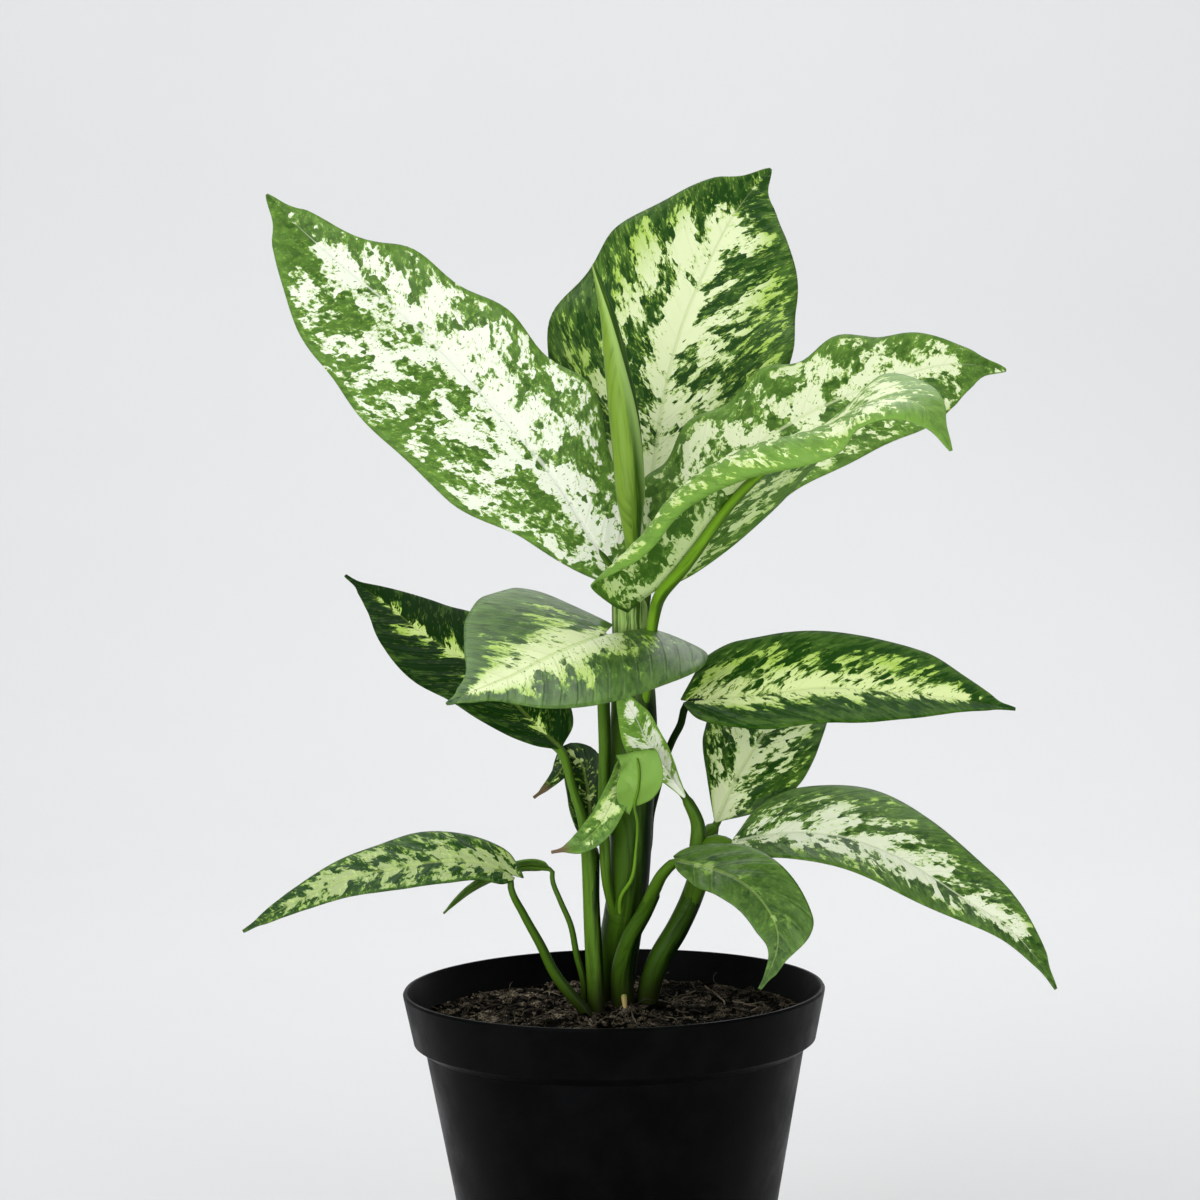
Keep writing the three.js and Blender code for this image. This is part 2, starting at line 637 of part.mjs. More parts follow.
function columnStations(columns) {
  const half = columns / 2;
  const right = [];
  for (let i = 1; i <= half; i++) right.push((i / half) ** 1.25);
  return [...right.map((s) => -s).reverse(), 0, ...right];
}

// Upper-side direction, square to the midrib.
function faceAt(leaf, u, along) {
  const unit = leaf.face.map((f) => vec(f).normalize().toArray());
  const n = vec([0, 1, 2].map((axis) => through(unit.map((f) => f[axis]), u)));
  return n.addScaledVector(along, -n.dot(along)).normalize();
}

// Walks from the midrib towards the margin, turning by curl on the way.
function alongSection(width, fold, curl, bend, a) {
  let [out, up] = [0, 0];
  for (let i = 0; i < SECTION_STEPS; i++) {
    const angle = fold + curl * (a * (i + 0.5) / SECTION_STEPS) ** bend;
    out += Math.cos(angle);
    up += Math.sin(angle);
  }
  const step = width * a / SECTION_STEPS;
  return [out * step, up * step];
}

// Offset of a point at s (-1 left edge ... 1 right edge) across the blade.
function acrossBlade(half, u, s) {
  const a = Math.abs(s);
  const width = Math.max(through(half.width, u, WIDTH_STATIONS), 0.35);
  const widest = Math.max(...half.width);
  const fold = radians(through(half.fold, u));
  const curl = radians(through(half.curl, u));
  const [height, count, phase] = half.wave;
  const wave = height * Math.min(width / widest, 1)
    * Math.sin(2 * Math.PI * (count * u + phase)) * a ** 2;
  const [out, up] = alongSection(width, fold, curl, half.bend, a);
  return {
    out: out + WAVE_LEAN * wave,
    up: up + wave,
    back: half.lobe * a ** 1.2 * Math.max(1 - u / LOBE_REACH, 0) ** 2,
    tilt: s === 0 ? 0 : fold + curl * a ** half.bend,
  };
}

function bladeRing(leaf, at, u, columns) {
  const { point, along } = at(u);
  const up = faceAt(leaf, u, along);
  const right = along.clone().cross(up);
  const [top, bottom] = [[], []];
  for (const s of columns) {
    const sign = s < 0 ? -1 : 1;
    const q = acrossBlade(s < 0 ? leaf.left : leaf.right, u, s);
    const normal = up.clone().multiplyScalar(Math.cos(q.tilt))
      .addScaledVector(right, -sign * Math.sin(q.tilt));
    const middle = point.clone().addScaledVector(right, sign * q.out)
      .addScaledVector(up, q.up).addScaledVector(along, -q.back);
    const rib = RIB_DEPTH * (1 - u) * Math.exp(-((q.out / 2) ** 2));
    top.push(middle.clone().addScaledVector(normal, BLADE_THICKNESS / 2));
    bottom.push(middle.clone().addScaledVector(normal, -BLADE_THICKNESS / 2 - rib));
  }
  return [...top, ...bottom.reverse()];
}

function petioleRings(leaf, at, columnCount) {
  const { point, along } = at(0);
  const face = faceAt(leaf, 0, along);
  const join = point.clone().addScaledVector(along, -1);
  const stalk = pathThrough([...leaf.petiole, join.toArray()]);
  const count = Math.max(3, Math.round((leaf.petiole.length + 1) * 1.2));
  const half = columnCount + 1;
  const rings = [];
  for (let i = 0; i < count; i++) {
    const t = i / (count - 1);
    const [r0, r1] = leaf.petioleRadius;
    const r = r0 + (r1 - r0) * t;
    const s = stalk(t);
    const up = face.clone().addScaledVector(s.along, -face.dot(s.along)).normalize();
    const right = s.along.clone().cross(up);
    const ring = [];
    for (let j = 0; j < 2 * half; j++) {
      const a = Math.PI - (j + 0.5) * Math.PI / half;
      ring.push(s.point.clone().addScaledVector(right, r * Math.cos(a))
        .addScaledVector(up, r * Math.sin(a)));
    }
    rings.push(ring);
  }
  return rings;
}

function makeLeaf(leaf) {
  const at = pathThrough(leaf.midrib);
  const columns = columnStations(leaf.columns);
  const blade = rowStations(leaf.rows).map((u) => bladeRing(leaf, at, u, columns));
  return loft([...petioleRings(leaf, at, leaf.columns), ...blade]);
}

// ---------- assembly ----------
function piece(name, geometry, colour, roughness) {
  const faceted = geometry.toNonIndexed();
  faceted.computeVertexNormals();
  const material = new THREE.MeshStandardMaterial({ color: colour, roughness });
  material.name = `${name}_finish`;
  const mesh = new THREE.Mesh(faceted, material);
  mesh.name = name;
  return mesh;
}

const plant = new THREE.Group();
plant.name = 'potted_dieffenbachia';
plant.add(piece('pot', makePot(), COLOURS.pot, 0.45));
plant.add(piece('soil', makeSoil(), COLOURS.soil, 0.95));
for (const [name, stem] of Object.entries(STEMS)) {
  plant.add(piece(name, makeStem(stem, name === 'stem_main'), STEM_COLOUR[name], 0.5));
}
for (const leaf of LEAVES) plant.add(piece(leaf.name, makeLeaf(leaf), COLOURS.leaf, 0.4));

export default plant;
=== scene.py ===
"""Potted dieffenbachia: patterned leaves, stems, soil and pot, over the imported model."""
import math

import bpy
import numpy as np
from bpy.props import FloatProperty, FloatVectorProperty, IntProperty, PointerProperty
from mathutils import Matrix, Vector, noise


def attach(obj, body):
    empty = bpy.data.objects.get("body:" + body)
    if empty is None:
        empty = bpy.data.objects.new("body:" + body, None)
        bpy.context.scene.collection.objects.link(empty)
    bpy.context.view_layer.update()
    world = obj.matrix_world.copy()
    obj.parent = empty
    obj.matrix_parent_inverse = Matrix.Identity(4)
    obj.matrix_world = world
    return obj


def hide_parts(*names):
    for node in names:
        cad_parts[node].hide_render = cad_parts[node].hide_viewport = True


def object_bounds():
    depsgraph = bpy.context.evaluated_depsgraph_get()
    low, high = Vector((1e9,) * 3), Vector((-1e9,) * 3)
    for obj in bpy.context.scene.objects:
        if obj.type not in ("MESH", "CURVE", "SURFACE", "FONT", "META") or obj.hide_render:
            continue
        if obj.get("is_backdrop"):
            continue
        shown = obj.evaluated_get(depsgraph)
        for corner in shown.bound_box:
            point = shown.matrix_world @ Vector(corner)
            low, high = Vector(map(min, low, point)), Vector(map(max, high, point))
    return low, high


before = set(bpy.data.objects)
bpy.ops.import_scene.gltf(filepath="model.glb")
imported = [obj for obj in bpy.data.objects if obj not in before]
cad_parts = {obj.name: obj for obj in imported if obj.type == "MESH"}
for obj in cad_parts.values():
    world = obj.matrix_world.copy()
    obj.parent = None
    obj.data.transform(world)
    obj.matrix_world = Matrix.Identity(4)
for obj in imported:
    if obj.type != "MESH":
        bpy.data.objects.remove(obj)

bl_info = {
    "name": "Potted dieffenbachia",
    "version": (1, 0, 0),
    "blender": (4, 5, 0),
    "location": "3D View > Sidebar > Dieffenbachia",
    "description": "Leaves, stems, soil, pot and stage of a potted dieffenbachia",
    "category": "Object",
}

# lengths are in millimetres, and angles in radians, where nothing else is said
MM = 0.001
FULL_TURN = 2 * math.pi
CAD_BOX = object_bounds()

# ---------- values: camera, where the photograph was taken from ----------
CAMERA_AT = (0.0, -1178.35 * MM, 334.91 * MM)
CAMERA_TURN = math.radians(0.099)    # to the left
CAMERA_PITCH = math.radians(-5.633)  # downwards
CAMERA_ROLL = math.radians(-1.0)
CAMERA_LENS = 126.0                  # in millimetres, on a 36 mm sensor

# ---------- values: leaves ----------
# half widths are given at these fractions of the blade length
WIDTH_STATIONS = (0, 0.05, 0.15, 0.3, 0.5, 0.7, 0.85, 0.95, 1)
TIP_WIDTH = 0.4
THINNEST_TIP = 0.2
LOBE_REACH = 0.6          # part of the blade length that a back-swept lobe uses
LOBE_POWER = 1.2          # above 1 keeps the sweep near the margin
WAVE_LEAN = 0.6           # how far a margin wave also moves the edge outwards
SECTION_STEPS = 16        # steps from midrib to margin when the section is summed
BLADE_ROWS = 84
BLADE_COLUMNS = 32
COLUMN_CROWDING = 1.1     # above 1 brings the columns closer together near the midrib
BASE_ROUNDING = 0.07      # part of the blade length over which its base rounds out
BASE_SHARE = 0.22         # part of the width that the base starts with
TIP_START = 0.92          # from here on the edges are hollow, towards a drawn-out tip
TIP_HOLLOW = 0.28
VEIN_SLANT = 1.0          # how far a side vein runs towards the tip, per length across
VEIN_CURVE = 0.12
VEIN_SPACING = 7.5        # between side veins, along the midrib
VEIN_RISE = 6.0           # from the midrib, over which the relief comes to its full height
VEIN_FADE = 4             # higher lets the relief fade closer to the margin

# ---------- values: stems and stalks ----------
FRONT = np.array((0.0, -1.0, 0.0))
PAINTED_LIGHT_SIDE = 0.87         # the side of the stems lit by painted light, as a part of a turn from the front
SOIL_AND_SHADE_HEIGHTS = (0.101, 0.118)   # in metres, between which the soil and painted shade on the stems thin out
STEM_ROWS = 140
STEM_SIDES = 40
STALK_ROWS = 26           # and one more for each STALK_ROW_SPACING of its length
STALK_ROW_SPACING = 3
STALK_SIDES = 14
ROUNDED_END = 0.003       # part of its width, squared, that a tube's dome starts with
RIB_POINTS = 14           # points at which the stalk follows the blade as its midrib
RIB_END = 0.97            # part of the blade length at which it ends
RIB_START = 0.8           # part of its depth below the blade that its first point has
RIB_SUNK = 0.05           # between the midrib and the blade's middle surface
RIB_TAPER = 0.8           # below 1 keeps the midrib thick for longer
THINNEST_RIB = 0.18
ROOTING = ((20, 0.9), (8, 0.35))  # how far down its stem a stalk sinks in, and how deep
ROOT_TAPER = 22.0         # over which a stalk thins from its stem's width to its own
ROOT_SHARE = 0.92         # of the stem's width, for a stalk that carries on its stem
HOST_STEPS = 200          # steps along a stem when a place on it is looked for
STEM_END = 190            # the step from which a stalk carries on its stem
LENGTH_POINTS = 60        # points by which the length of a path is measured
SEAM_GAP = 1e-6           # in metres, over which the edges of a rolled grid are joined

# the root nub of the front shoot
ROOT_NUB = ((2.6, 4.5, 106), (2.9, 2.6, 103.5), (3.1, 1.6, 99.5))
ROOT_NUB_RADIUS = 1.1
ROOT_NUB_TAPER = 0.6

# ---------- values: soil ----------
SOIL_BOTTOM = 4.3
SOIL_TOP = 99.3
SOIL_RADIUS = 55.6
SOIL_COLUMNS = 200
SOIL_ROWS = 110
TOP_SHARE = 0.9           # part of the rows that the top takes up
# part of the rows, radius and height, down the side and in along the bottom
SOIL_SIDE = ((TOP_SHARE, SOIL_RADIUS, SOIL_TOP), (0.92, 55.3, 94.6), (0.935, 51.9, 91.2),
             (0.97, 36.6, SOIL_BOTTOM), (1.0, 0.01, SOIL_BOTTOM))
MOUND_HEIGHT = 1.2
MOUND_REACH = 24
LEVEL_EDGE = 6            # over which the surface turns level at the pot
# size, height and layer of the noise of the soil's unevenness, from coarse to fine
CLODS = (17, 1.1, 3.1)
LUMPS = (6, 1.0, 7.7)
GRAINS = (2.4, 0.7, 1.3)
SOIL_SEED = 11
SMALL_CRUMB = 0.35        # smallest radius of a loose crumb
LARGE_CRUMB = 0.9         # the same close around the stems
CRUMB_RANGE = 1.5         # by which a crumb may be larger
CRUMB_RARITY = 2.6        # higher makes large crumbs rarer
CRUMB_FORM = (1, 0.8, 0.45)      # smallest length, width and height for its radius
CRUMB_VARIETY = (1.1, 0.5, 0.4)  # by which they may be larger
CRUMB_TILT = 0.6
CRUMB_RISE = 0.15         # part of its radius by which a crumb stands out of the soil
CRUMB_ROUGHNESS = 0.7
STEM_CRUMBS = 14          # crumbs close around each stem
STEM_CRUMBS_REACH = 1.4
STEM_CRUMBS_OVERLAP = 0.2
CLEAR_EDGE = 2            # no crumb or fibre has its middle this close to the pot
FIBRE_LENGTH = 2.5        # of the shortest fibre
FIBRE_RANGE = 9           # by which a fibre may be longer
FIBRE_RADIUS = 0.1
FIBRE_SWELL = 0.14        # by which a fibre may be thicker
FIBRE_BEND = 0.5
FIBRE_LIFT = 0.5          # part of its length by which an end may stand up
FIBRE_RISE = 0.35
FIBRE_CLEARANCE = 1       # kept between fibres and the pot
ANY_TURN = 6.3            # a crumb or fibre is turned by up to this angle

# ---------- values: pot ----------
# radius and height of each ring, up the outside and down the inside
POT_RINGS = (
    (14.0, 0), (15.8, 2.4), (32.0, 2.4), (33.5, 0), (37.0, 0), (37.6, 0.7), (53.9, 91.0),
    (57.2, 93.4), (59.85, 106.4), (60.0, 107.3), (59.6, 108.0), (58.9, 108.0), (58.5, 107.4),
    (55.8, 94.8), (52.5, 91.6), (36.5, 1.6), (33.9, 1.6), (31.8, 4.0), (16.2, 4.0), (14.0, 1.6),
)
POT_STEPS = 128
DRAIN_HOLES = 8
DRAIN_RADIUS = 3.0
DRAIN_CIRCLE = 24.0
DRAIN_STEPS = 24
DRAIN_DEPTH = 12.0
SHARP_EDGE = math.radians(35)

# ---------- values: stage ----------
FLOOR_ROWS = 60           # half of them make the floor, a quarter the curve, the rest the wall
FLOOR_WIDTH = 9000.0
FLOOR_FRONT = -2600.0
FLOOR_BACK = 900.0        # where the floor starts to curve up
FLOOR_BEND = 900.0
WALL_HEIGHT = 2500.0      # above the curve
SKY_TINT = (0.97, 0.985, 1.0)
AIM = 0.6                 # part of the plant's height that the lights face
# place and size in metres, and the target of a light that doesn't face the plant
LIGHTS = {
    "key": ((-0.7, -1.15, 0.6), 1.0, None),
    "fill": ((0.6, -1.3, 0.14), 0.8, None),
    "back": ((0.25, 0.75, 1.0), 0.8, None),
    "backdrop": ((0.0, 0.6, 1.9), 1.6, (0.0, 2.2, 0.3)),
}


# ---------- shapes of the leaves and stems ----------
def half(*width, fold=0, curl=0, wave=(0, 0, 0), lobe=0, bend=1):
    """One half of a blade: its width at WIDTH_STATIONS up to the tip; the degrees by which it
    folds up at the midrib and curls towards the margin, at even steps along it; the (height,
    count, phase) of its margin's waves; how far its base is swept back; a bend above 1 keeps
    the curl near the margin."""
    return {"width": (*width, TIP_WIDTH), "fold": fold, "curl": curl, "wave": wave, "lobe": lobe,
            "bend": bend}


# host is the stem that a stalk grows from, where it doesn't stand in the soil; stalk and midrib
# are points in space, and face is the direction of the upper side at even steps along the blade
LEAVES = {
    "leaf_crown_left": dict(
        host="stem_main", stalk_radius=(2, 1.8),
        stalk=((5, 4, 219), (4, 3, 223)),
        midrib=((2, 2, 227), (-5, 6, 237), (-12, 10, 249), (-24, 16, 264), (-39, 24, 281),
                (-54, 30, 296), (-71, 37, 310), (-87, 44, 324), (-97, 49, 334)),
        face=((0.3, -0.9, 0.3), (0.2, -0.93, 0.25), (0.2, -0.93, 0.25)),
        left=half(4, 8, 17.5, 28.2, 30.8, 26.6, 15.8, 6,
                  fold=2, curl=-4, wave=(1, 4, 0.1), lobe=6),
        right=half(5, 9, 15.5, 23.5, 20.5, 15.5, 7.5, 3.5,
                   fold=(10, 24, 30, 30), curl=-16, wave=(2, 5, 0.75), lobe=3),
    ),
    "leaf_crown_back": dict(
        host="stem_main", stalk_radius=(2.2, 1.8),
        stalk=((8, 10, 219), (9, 11, 223.5)),
        midrib=((10, 14, 229), (14, 32, 253), (18, 46, 275), (24, 58, 295), (31, 67, 310),
                (40, 75, 326), (51, 81, 339)),
        face=((-0.1, -0.9, 0.4), (-0.15, -0.85, 0.4)),
        left=half(4, 11, 22, 32, 37, 31, 19.7, 6.8, fold=10, curl=-12, wave=(1.8, 4.5, 0.9)),
        right=half(4, 10, 19.5, 29.3, 34.4, 31, 19, 6.1, fold=10, curl=-12, wave=(1.4, 3.5, 0.3)),
    ),
    "leaf_crown_right": dict(
        host="stem_main", stalk_radius=(2, 1.8),
        stalk=((10.5, 5.5, 219), (11, 4, 225)),
        midrib=((13, 4, 231), (27, 9, 246), (44, 15, 261), (65, 21, 272), (82, 26, 278),
                (100, 30, 282), (116, 32, 280)),
        face=((-0.2, -0.85, 0.45), (-0.1, -0.8, 0.5)),
        left=half(3, 9.5, 16.5, 17.5, 17.5, 16.5, 8.5, 3.6,
                  fold=10, curl=-10, wave=(1.7, 5.5, 0.7)),
        right=half(3, 8, 13.5, 18.2, 20, 19.2, 14, 4.2, fold=6, curl=-8, wave=(1.6, 4, 0.2)),
    ),
    "leaf_crown_front": dict(
        host="stem_main", stalk_radius=(1.5, 1.9),
        stalk=((11.5, -0.5, 198), (12, 0.5, 207), (13.5, -3, 216)),
        midrib=((15, -10, 223), (24, -20, 235), (34, -31, 249), (46, -43, 261), (60, -55, 270),
                (73, -65, 277), (83, -73, 276), (91, -77, 264)),
        face=((-0.45, 0.5, 0.72), (-0.45, 0.5, 0.72), (-0.3, 0.1, 0.9), (0.1, -0.5, 0.85),
              (0.5, -0.5, 0.6)),
        left=half(2, 8, 15, 21.5, 25, 20.5, 12, 4.5, fold=5, curl=-15, lobe=2),
        right=half(15, 22, 25, 26, 25, 20, 12, 4.5,
                   fold=(32, 36, 25, 8, 0), curl=(-25, -165, -150, -60, -20), lobe=13, bend=2.5),
    ),
    "leaf_left_back": dict(
        host="shoot_left", stalk_radius=(0.9, 1.4),
        stalk=((-6.5, 1.5, 143), (-8, 4, 155.5), (-11, 8, 165), (-12.5, 10.5, 171)),
        midrib=((-14, 12, 175), (-21, 18, 181), (-37, 28, 196), (-54, 38, 206), (-65, 46, 214),
                (-77, 53, 222)),
        face=((0.3, -0.75, 0.55), (0.35, -0.75, 0.55)),
        left=half(1.5, 5, 9.5, 14, 16.5, 12, 5.5, 1.5, fold=5, curl=-6),
        right=half(1.5, 8.5, 13.5, 15.5, 16, 12, 5.5, 1.2, fold=10, curl=-10),
    ),
    "leaf_front": dict(
        host="stem_main", stalk_radius=(1.5, 2),
        stalk=((-1.5, 1, 138.5), (-2, 0.5, 150.5), (-2, 0, 162), (-1.5, 0.5, 173),
               (-1.5, -2, 190.5), (-1.5, -7, 201)),
        midrib=((-1, -13, 210), (-8, -26, 209), (-17, -42, 207), (-26, -56, 204), (-34, -66, 202),
                (-43, -74, 199)),
        face=((0.15, -0.5, 0.85), (0.3, -0.5, 0.8)),
        left=half(19, 27, 30.5, 28, 23, 14, 4.7, 2, fold=(18, 8, 4), curl=-14, lobe=19),
        right=half(13, 24, 29, 29, 24.5, 15.7, 5.6, 2, fold=8, curl=-10, lobe=10),
    ),
    "leaf_right": dict(
        host="stem_main", stalk_radius=(1, 1.1),
        stalk=((10.5, 11.5, 145.5), (11.5, 12, 155.5), (13.5, 11, 163.5), (16, 6.5, 173),
               (18, 3, 178.5), (20, 0.5, 182.5)),
        midrib=((23, -4, 190), (42, -9, 192), (60, -12, 194), (76, -14, 193), (95, -17, 191),
                (113, -19, 188)),
        face=((0.05, -0.6, 0.8), (0.1, -0.5, 0.8)),
        left=half(4, 16, 21.5, 22.5, 21, 17, 8.5, 2.5, fold=10, curl=-8, lobe=3),
        right=half(3, 9, 15, 19, 18.5, 13.5, 6, 2, fold=16, curl=-10, lobe=2),
    ),
    "leaf_right_up": dict(
        host="shoot_right", stalk_radius=(0.9, 1.1),
        stalk=((26, 7.5, 146.5), (27.5, 10.5, 149.5)),
        midrib=((30, 12, 153), (36, 16, 165), (44, 24, 176), (51, 35, 185), (56, 48, 191),
                (61, 60, 197)),
        face=((-0.1, -0.8, 0.55), (-0.1, -0.5, 0.85)),
        left=half(1, 3, 8, 15.5, 18.5, 17, 11.5, 4, fold=5, curl=-8),
        right=half(1, 6, 14.5, 18, 16, 12, 6.5, 2.5, fold=5, curl=-8),
    ),
    "leaf_right_low": dict(
        host="shoot_right", stalk_radius=(0.9, 1.2),
        stalk=((27, 1.5, 147.5), (30, 0.5, 149)),
        midrib=((34, -2, 149), (51, -10, 153), (67, -18, 152), (81, -24, 147), (95, -28, 138),
                (110, -32, 128), (122, -35, 112)),
        face=((0.1, -0.6, 0.8), (0.45, -0.6, 0.65)),
        left=half(3, 12, 19, 22, 18.5, 14.5, 7.5, 3.2, fold=6, curl=-10),
        right=half(2, 7, 13, 15.5, 15.5, 10, 5, 1.5, fold=16, curl=-10),
    ),
    "leaf_front_low": dict(
        host="shoot_front", stalk_radius=(1.6, 1.3),
        stalk=((12, -5.5, 137), (14.5, -9, 142)),
        midrib=((18, -12, 146), (28, -22, 145), (35, -30, 143), (41, -35, 138), (45, -38, 130),
                (40, -38, 114)),
        face=((0.1, -0.7, 0.7), (0.3, -0.8, 0.5), (0.5, -0.7, 0.4)),
        left=half(6, 7, 9.5, 12.5, 12.5, 12.3, 3.8, 1.8, lobe=2),
        right=half(1.5, 3.5, 6, 8.4, 7.5, 6.2, 1.7, 0.7),
    ),
    "leaf_left_low": dict(
        stalk_radius=(2, 0.9),
        stalk=((-7.5, -4.5, 92), (-7.5, -4.5, 97), (-7.7, -4.5, 100.4), (-8.9, -4.7, 103.1),
               (-11, -5, 105.5), (-16.5, -6, 113), (-20.5, -8, 122), (-25, -10, 131),
               (-28.5, -12, 139.5)),
        midrib=((-29, -12, 143), (-38, -16, 147), (-49, -20, 148), (-60, -24, 147),
                (-73, -28, 145), (-86, -31, 140), (-102, -35, 132)),
        face=((0.1, -0.6, 0.8), (-0.2, -0.6, 0.75)),
        left=half(3, 5, 6.5, 8, 7.3, 5, 2.8, 1.2, curl=-5, lobe=2),
        right=half(4, 8, 9.6, 11.4, 8.8, 5.8, 3.3, 1.3, fold=8, curl=-8, lobe=5),
    ),
    "leaf_left_thin": dict(
        stalk_radius=(1.2, 0.7),
        stalk=((-8.5, 4.5, 92), (-8.5, 4.5, 103), (-8.5, 4, 108), (-10.5, 3.5, 117),
               (-12, 3, 125.5), (-15, 3, 133), (-17, 4, 138.5)),
        midrib=((-18, 4, 142), (-24, 3, 143), (-32, 2, 141), (-40, 1, 137), (-48, 0, 130)),
        face=((-0.2, 0.45, 0.85), (-0.4, 0.3, 0.8)),
        left=half(1, 3, 4.5, 5, 5, 4, 2.5, 1),
        right=half(1, 3, 4.5, 5, 5, 4, 2.5, 1),
    ),
    "leaf_shoot_pale": dict(
        host="shoot_right", stalk_radius=(1.5, 1.2),
        stalk=((24.5, 2, 147.5), (24.5, 2, 154.5), (22.5, 1.5, 159.5)),
        midrib=((21, 1, 162), (16, -1, 170), (11, -4, 178), (7, -8, 187), (2, -12, 195)),
        face=((-0.1, -1, 0.1), (-0.1, -1, 0.2)),
        left=half(0.8, 1.2, 2.4, 4.6, 7, 6.2, 4, 1.5, fold=30, curl=-10),
        right=half(0.8, 1.2, 2.2, 4, 5.5, 5, 3, 1.5, fold=35, curl=-10),
    ),
    "leaf_curled": dict(
        host="stem_main", stalk_radius=(0.6, 0.4),
        stalk=((2.5, 0.5, 134), (5.5, -1, 139), (7, -1.5, 147.5), (7.5, -4, 155)),
        midrib=((7, -10, 163), (8, -13, 168), (8, -14, 174), (7, -14, 177), (6, -10, 175),
                (4, -9, 169), (1, -8, 163), (-3, -8, 156), (-8, -7, 151), (-17, -6, 148)),
        face=((0, 1, 0.1), (0, 1, 0), (0, 0.1, -1), (0.1, -1, -0.1), (0.2, -1, 0.1),
              (0.1, -1, 0.4), (0, -0.6, 0.8)),
        left=half(2, 4.5, 6.6, 5.5, 4, 4, 3, 0.9, fold=8, lobe=2),
        right=half(2.5, 5, 6.4, 5.2, 4, 4, 3, 0.9, fold=8, lobe=6),
    ),
    "leaf_left_tuft": dict(
        host="shoot_left", stalk_radius=(0.8, 0.9),
        stalk=((-5.5, 4, 143), (-5.5, 5, 146)),
        midrib=((-6, 6, 148), (-6, 10, 156), (-7, 14, 165), (-9, 16, 171), (-11, 16, 172),
                (-15, 15, 167), (-18, 14, 164), (-22, 12, 161)),
        face=((0.1, -1, 0.2), (0.1, -1, 0.2), (0, -1, 0.3), (-0.3, -0.9, 0.4), (-0.3, -0.8, 0.5)),
        left=half(1, 3, 5, 6.2, 6, 3, 1.5, 0.7, fold=10),
        right=half(1, 3, 4.8, 6, 6, 3, 1.5, 0.7, fold=10),
    ),
}

STEMS = {
    "stem_main": dict(
        path=((0, 17, 92), (0, 17, 103), (2, 12, 119.5), (4, 8, 131.5), (5, 6.5, 141),
              (6, 6, 160.5), (7, 6, 189.5), (6.5, 6, 212.5), (6.5, 6.5, 221.5)),
        radius=(3.5, 5.8, 5.9, 5.9, 6.1, 7, 6.4, 5.4, 5.2)),
    "shoot_left": dict(
        path=((-5, 1, 92), (-5, 1, 101), (-5.5, 1, 115.5), (-6, 1.5, 133), (-6, 2, 142.5)),
        radius=(1.8, 2.5, 2.5, 2.4, 2.3)),
    "shoot_front": dict(
        path=((2.5, 6.5, 92), (2.5, 6.5, 101), (2.5, 4.5, 112.5), (5, 1.5, 122), (9, -1, 129.5),
              (12, -5, 136.5)),
        radius=(2.2, 3.3, 3.1, 2.6, 2.3, 2.1)),
    "shoot_right": dict(
        path=((9.5, 9.5, 92), (9.5, 9.5, 102), (13, 8, 114), (18.5, 7, 123.5), (22.5, 6, 132),
              (25, 5, 140), (25.5, 4, 146.5)),
        radius=(2.2, 3.2, 3.3, 3.3, 3.2, 3.1, 2.7)),
    "young_leaf_rolled": dict(
        path=((8.5, 2, 219.5), (7.5, -1.5, 233.5), (7, -1, 249.5), (6, 1, 266.5), (4, 4, 283),
              (1.5, 8, 298.5), (-2.5, 12, 313)),
        radius=(1.3, 2.2, 4.2, 4.3, 3.6, 2.2, 0.4)),
}

# ---------- looks of the stems and leaves ----------
# how light each stem is, and how strong its rings are
STEM_LOOKS = (("stem_main", 0.55, 1.0), ("shoot_left", 0.8, 0.3), ("shoot_front", 0.55, 0.6),
              ("shoot_right", 0.5, 0.6))
# cream is the share of cream patches, spread is how far they reach from midrib to margin,
# lopsided moves them to the right half, or to the left if it is below zero, tip is where they
# end along the blade, streaks draws them out along the side veins, blotches and grain are how
# strongly green blotches and finer specks break them up, soft blurs their edges, and cover is
# how opaque they are. specks adds pale flecks in the green, dashes adds green ones in the
# cream, pale is how white the cream is, light is how light the green is, deep darkens it as
# painted shade, midrib is how solid the patches are along the midrib, rib is how much paler the
# midrib itself is, stalk is how light the stalk is, gloss is how shiny the blade is, glow is how
# much light it lets through, and dry is where a withered tip starts. under_light is the light of
# the underside, and under_cream and under_specks are how much of the cream and specks it shows.
LOOK_DEFAULTS = dict(
    seed=0.0, cream=0.5, spread=0.8, streaks=0.4, blotches=1.0, lopsided=0.0, tip=0.93, light=0.3,
    specks=0.3, dashes=0.5, midrib=1.0, rib=0.6, gloss=0.2, glow=0.16, soft=0.02, dry=1.0,
    stalk=0.7, deep=0.0, grain=0.7, cover=1.0, pale=0.0, under_light=0.5, under_cream=0.75,
    under_specks=0.5)
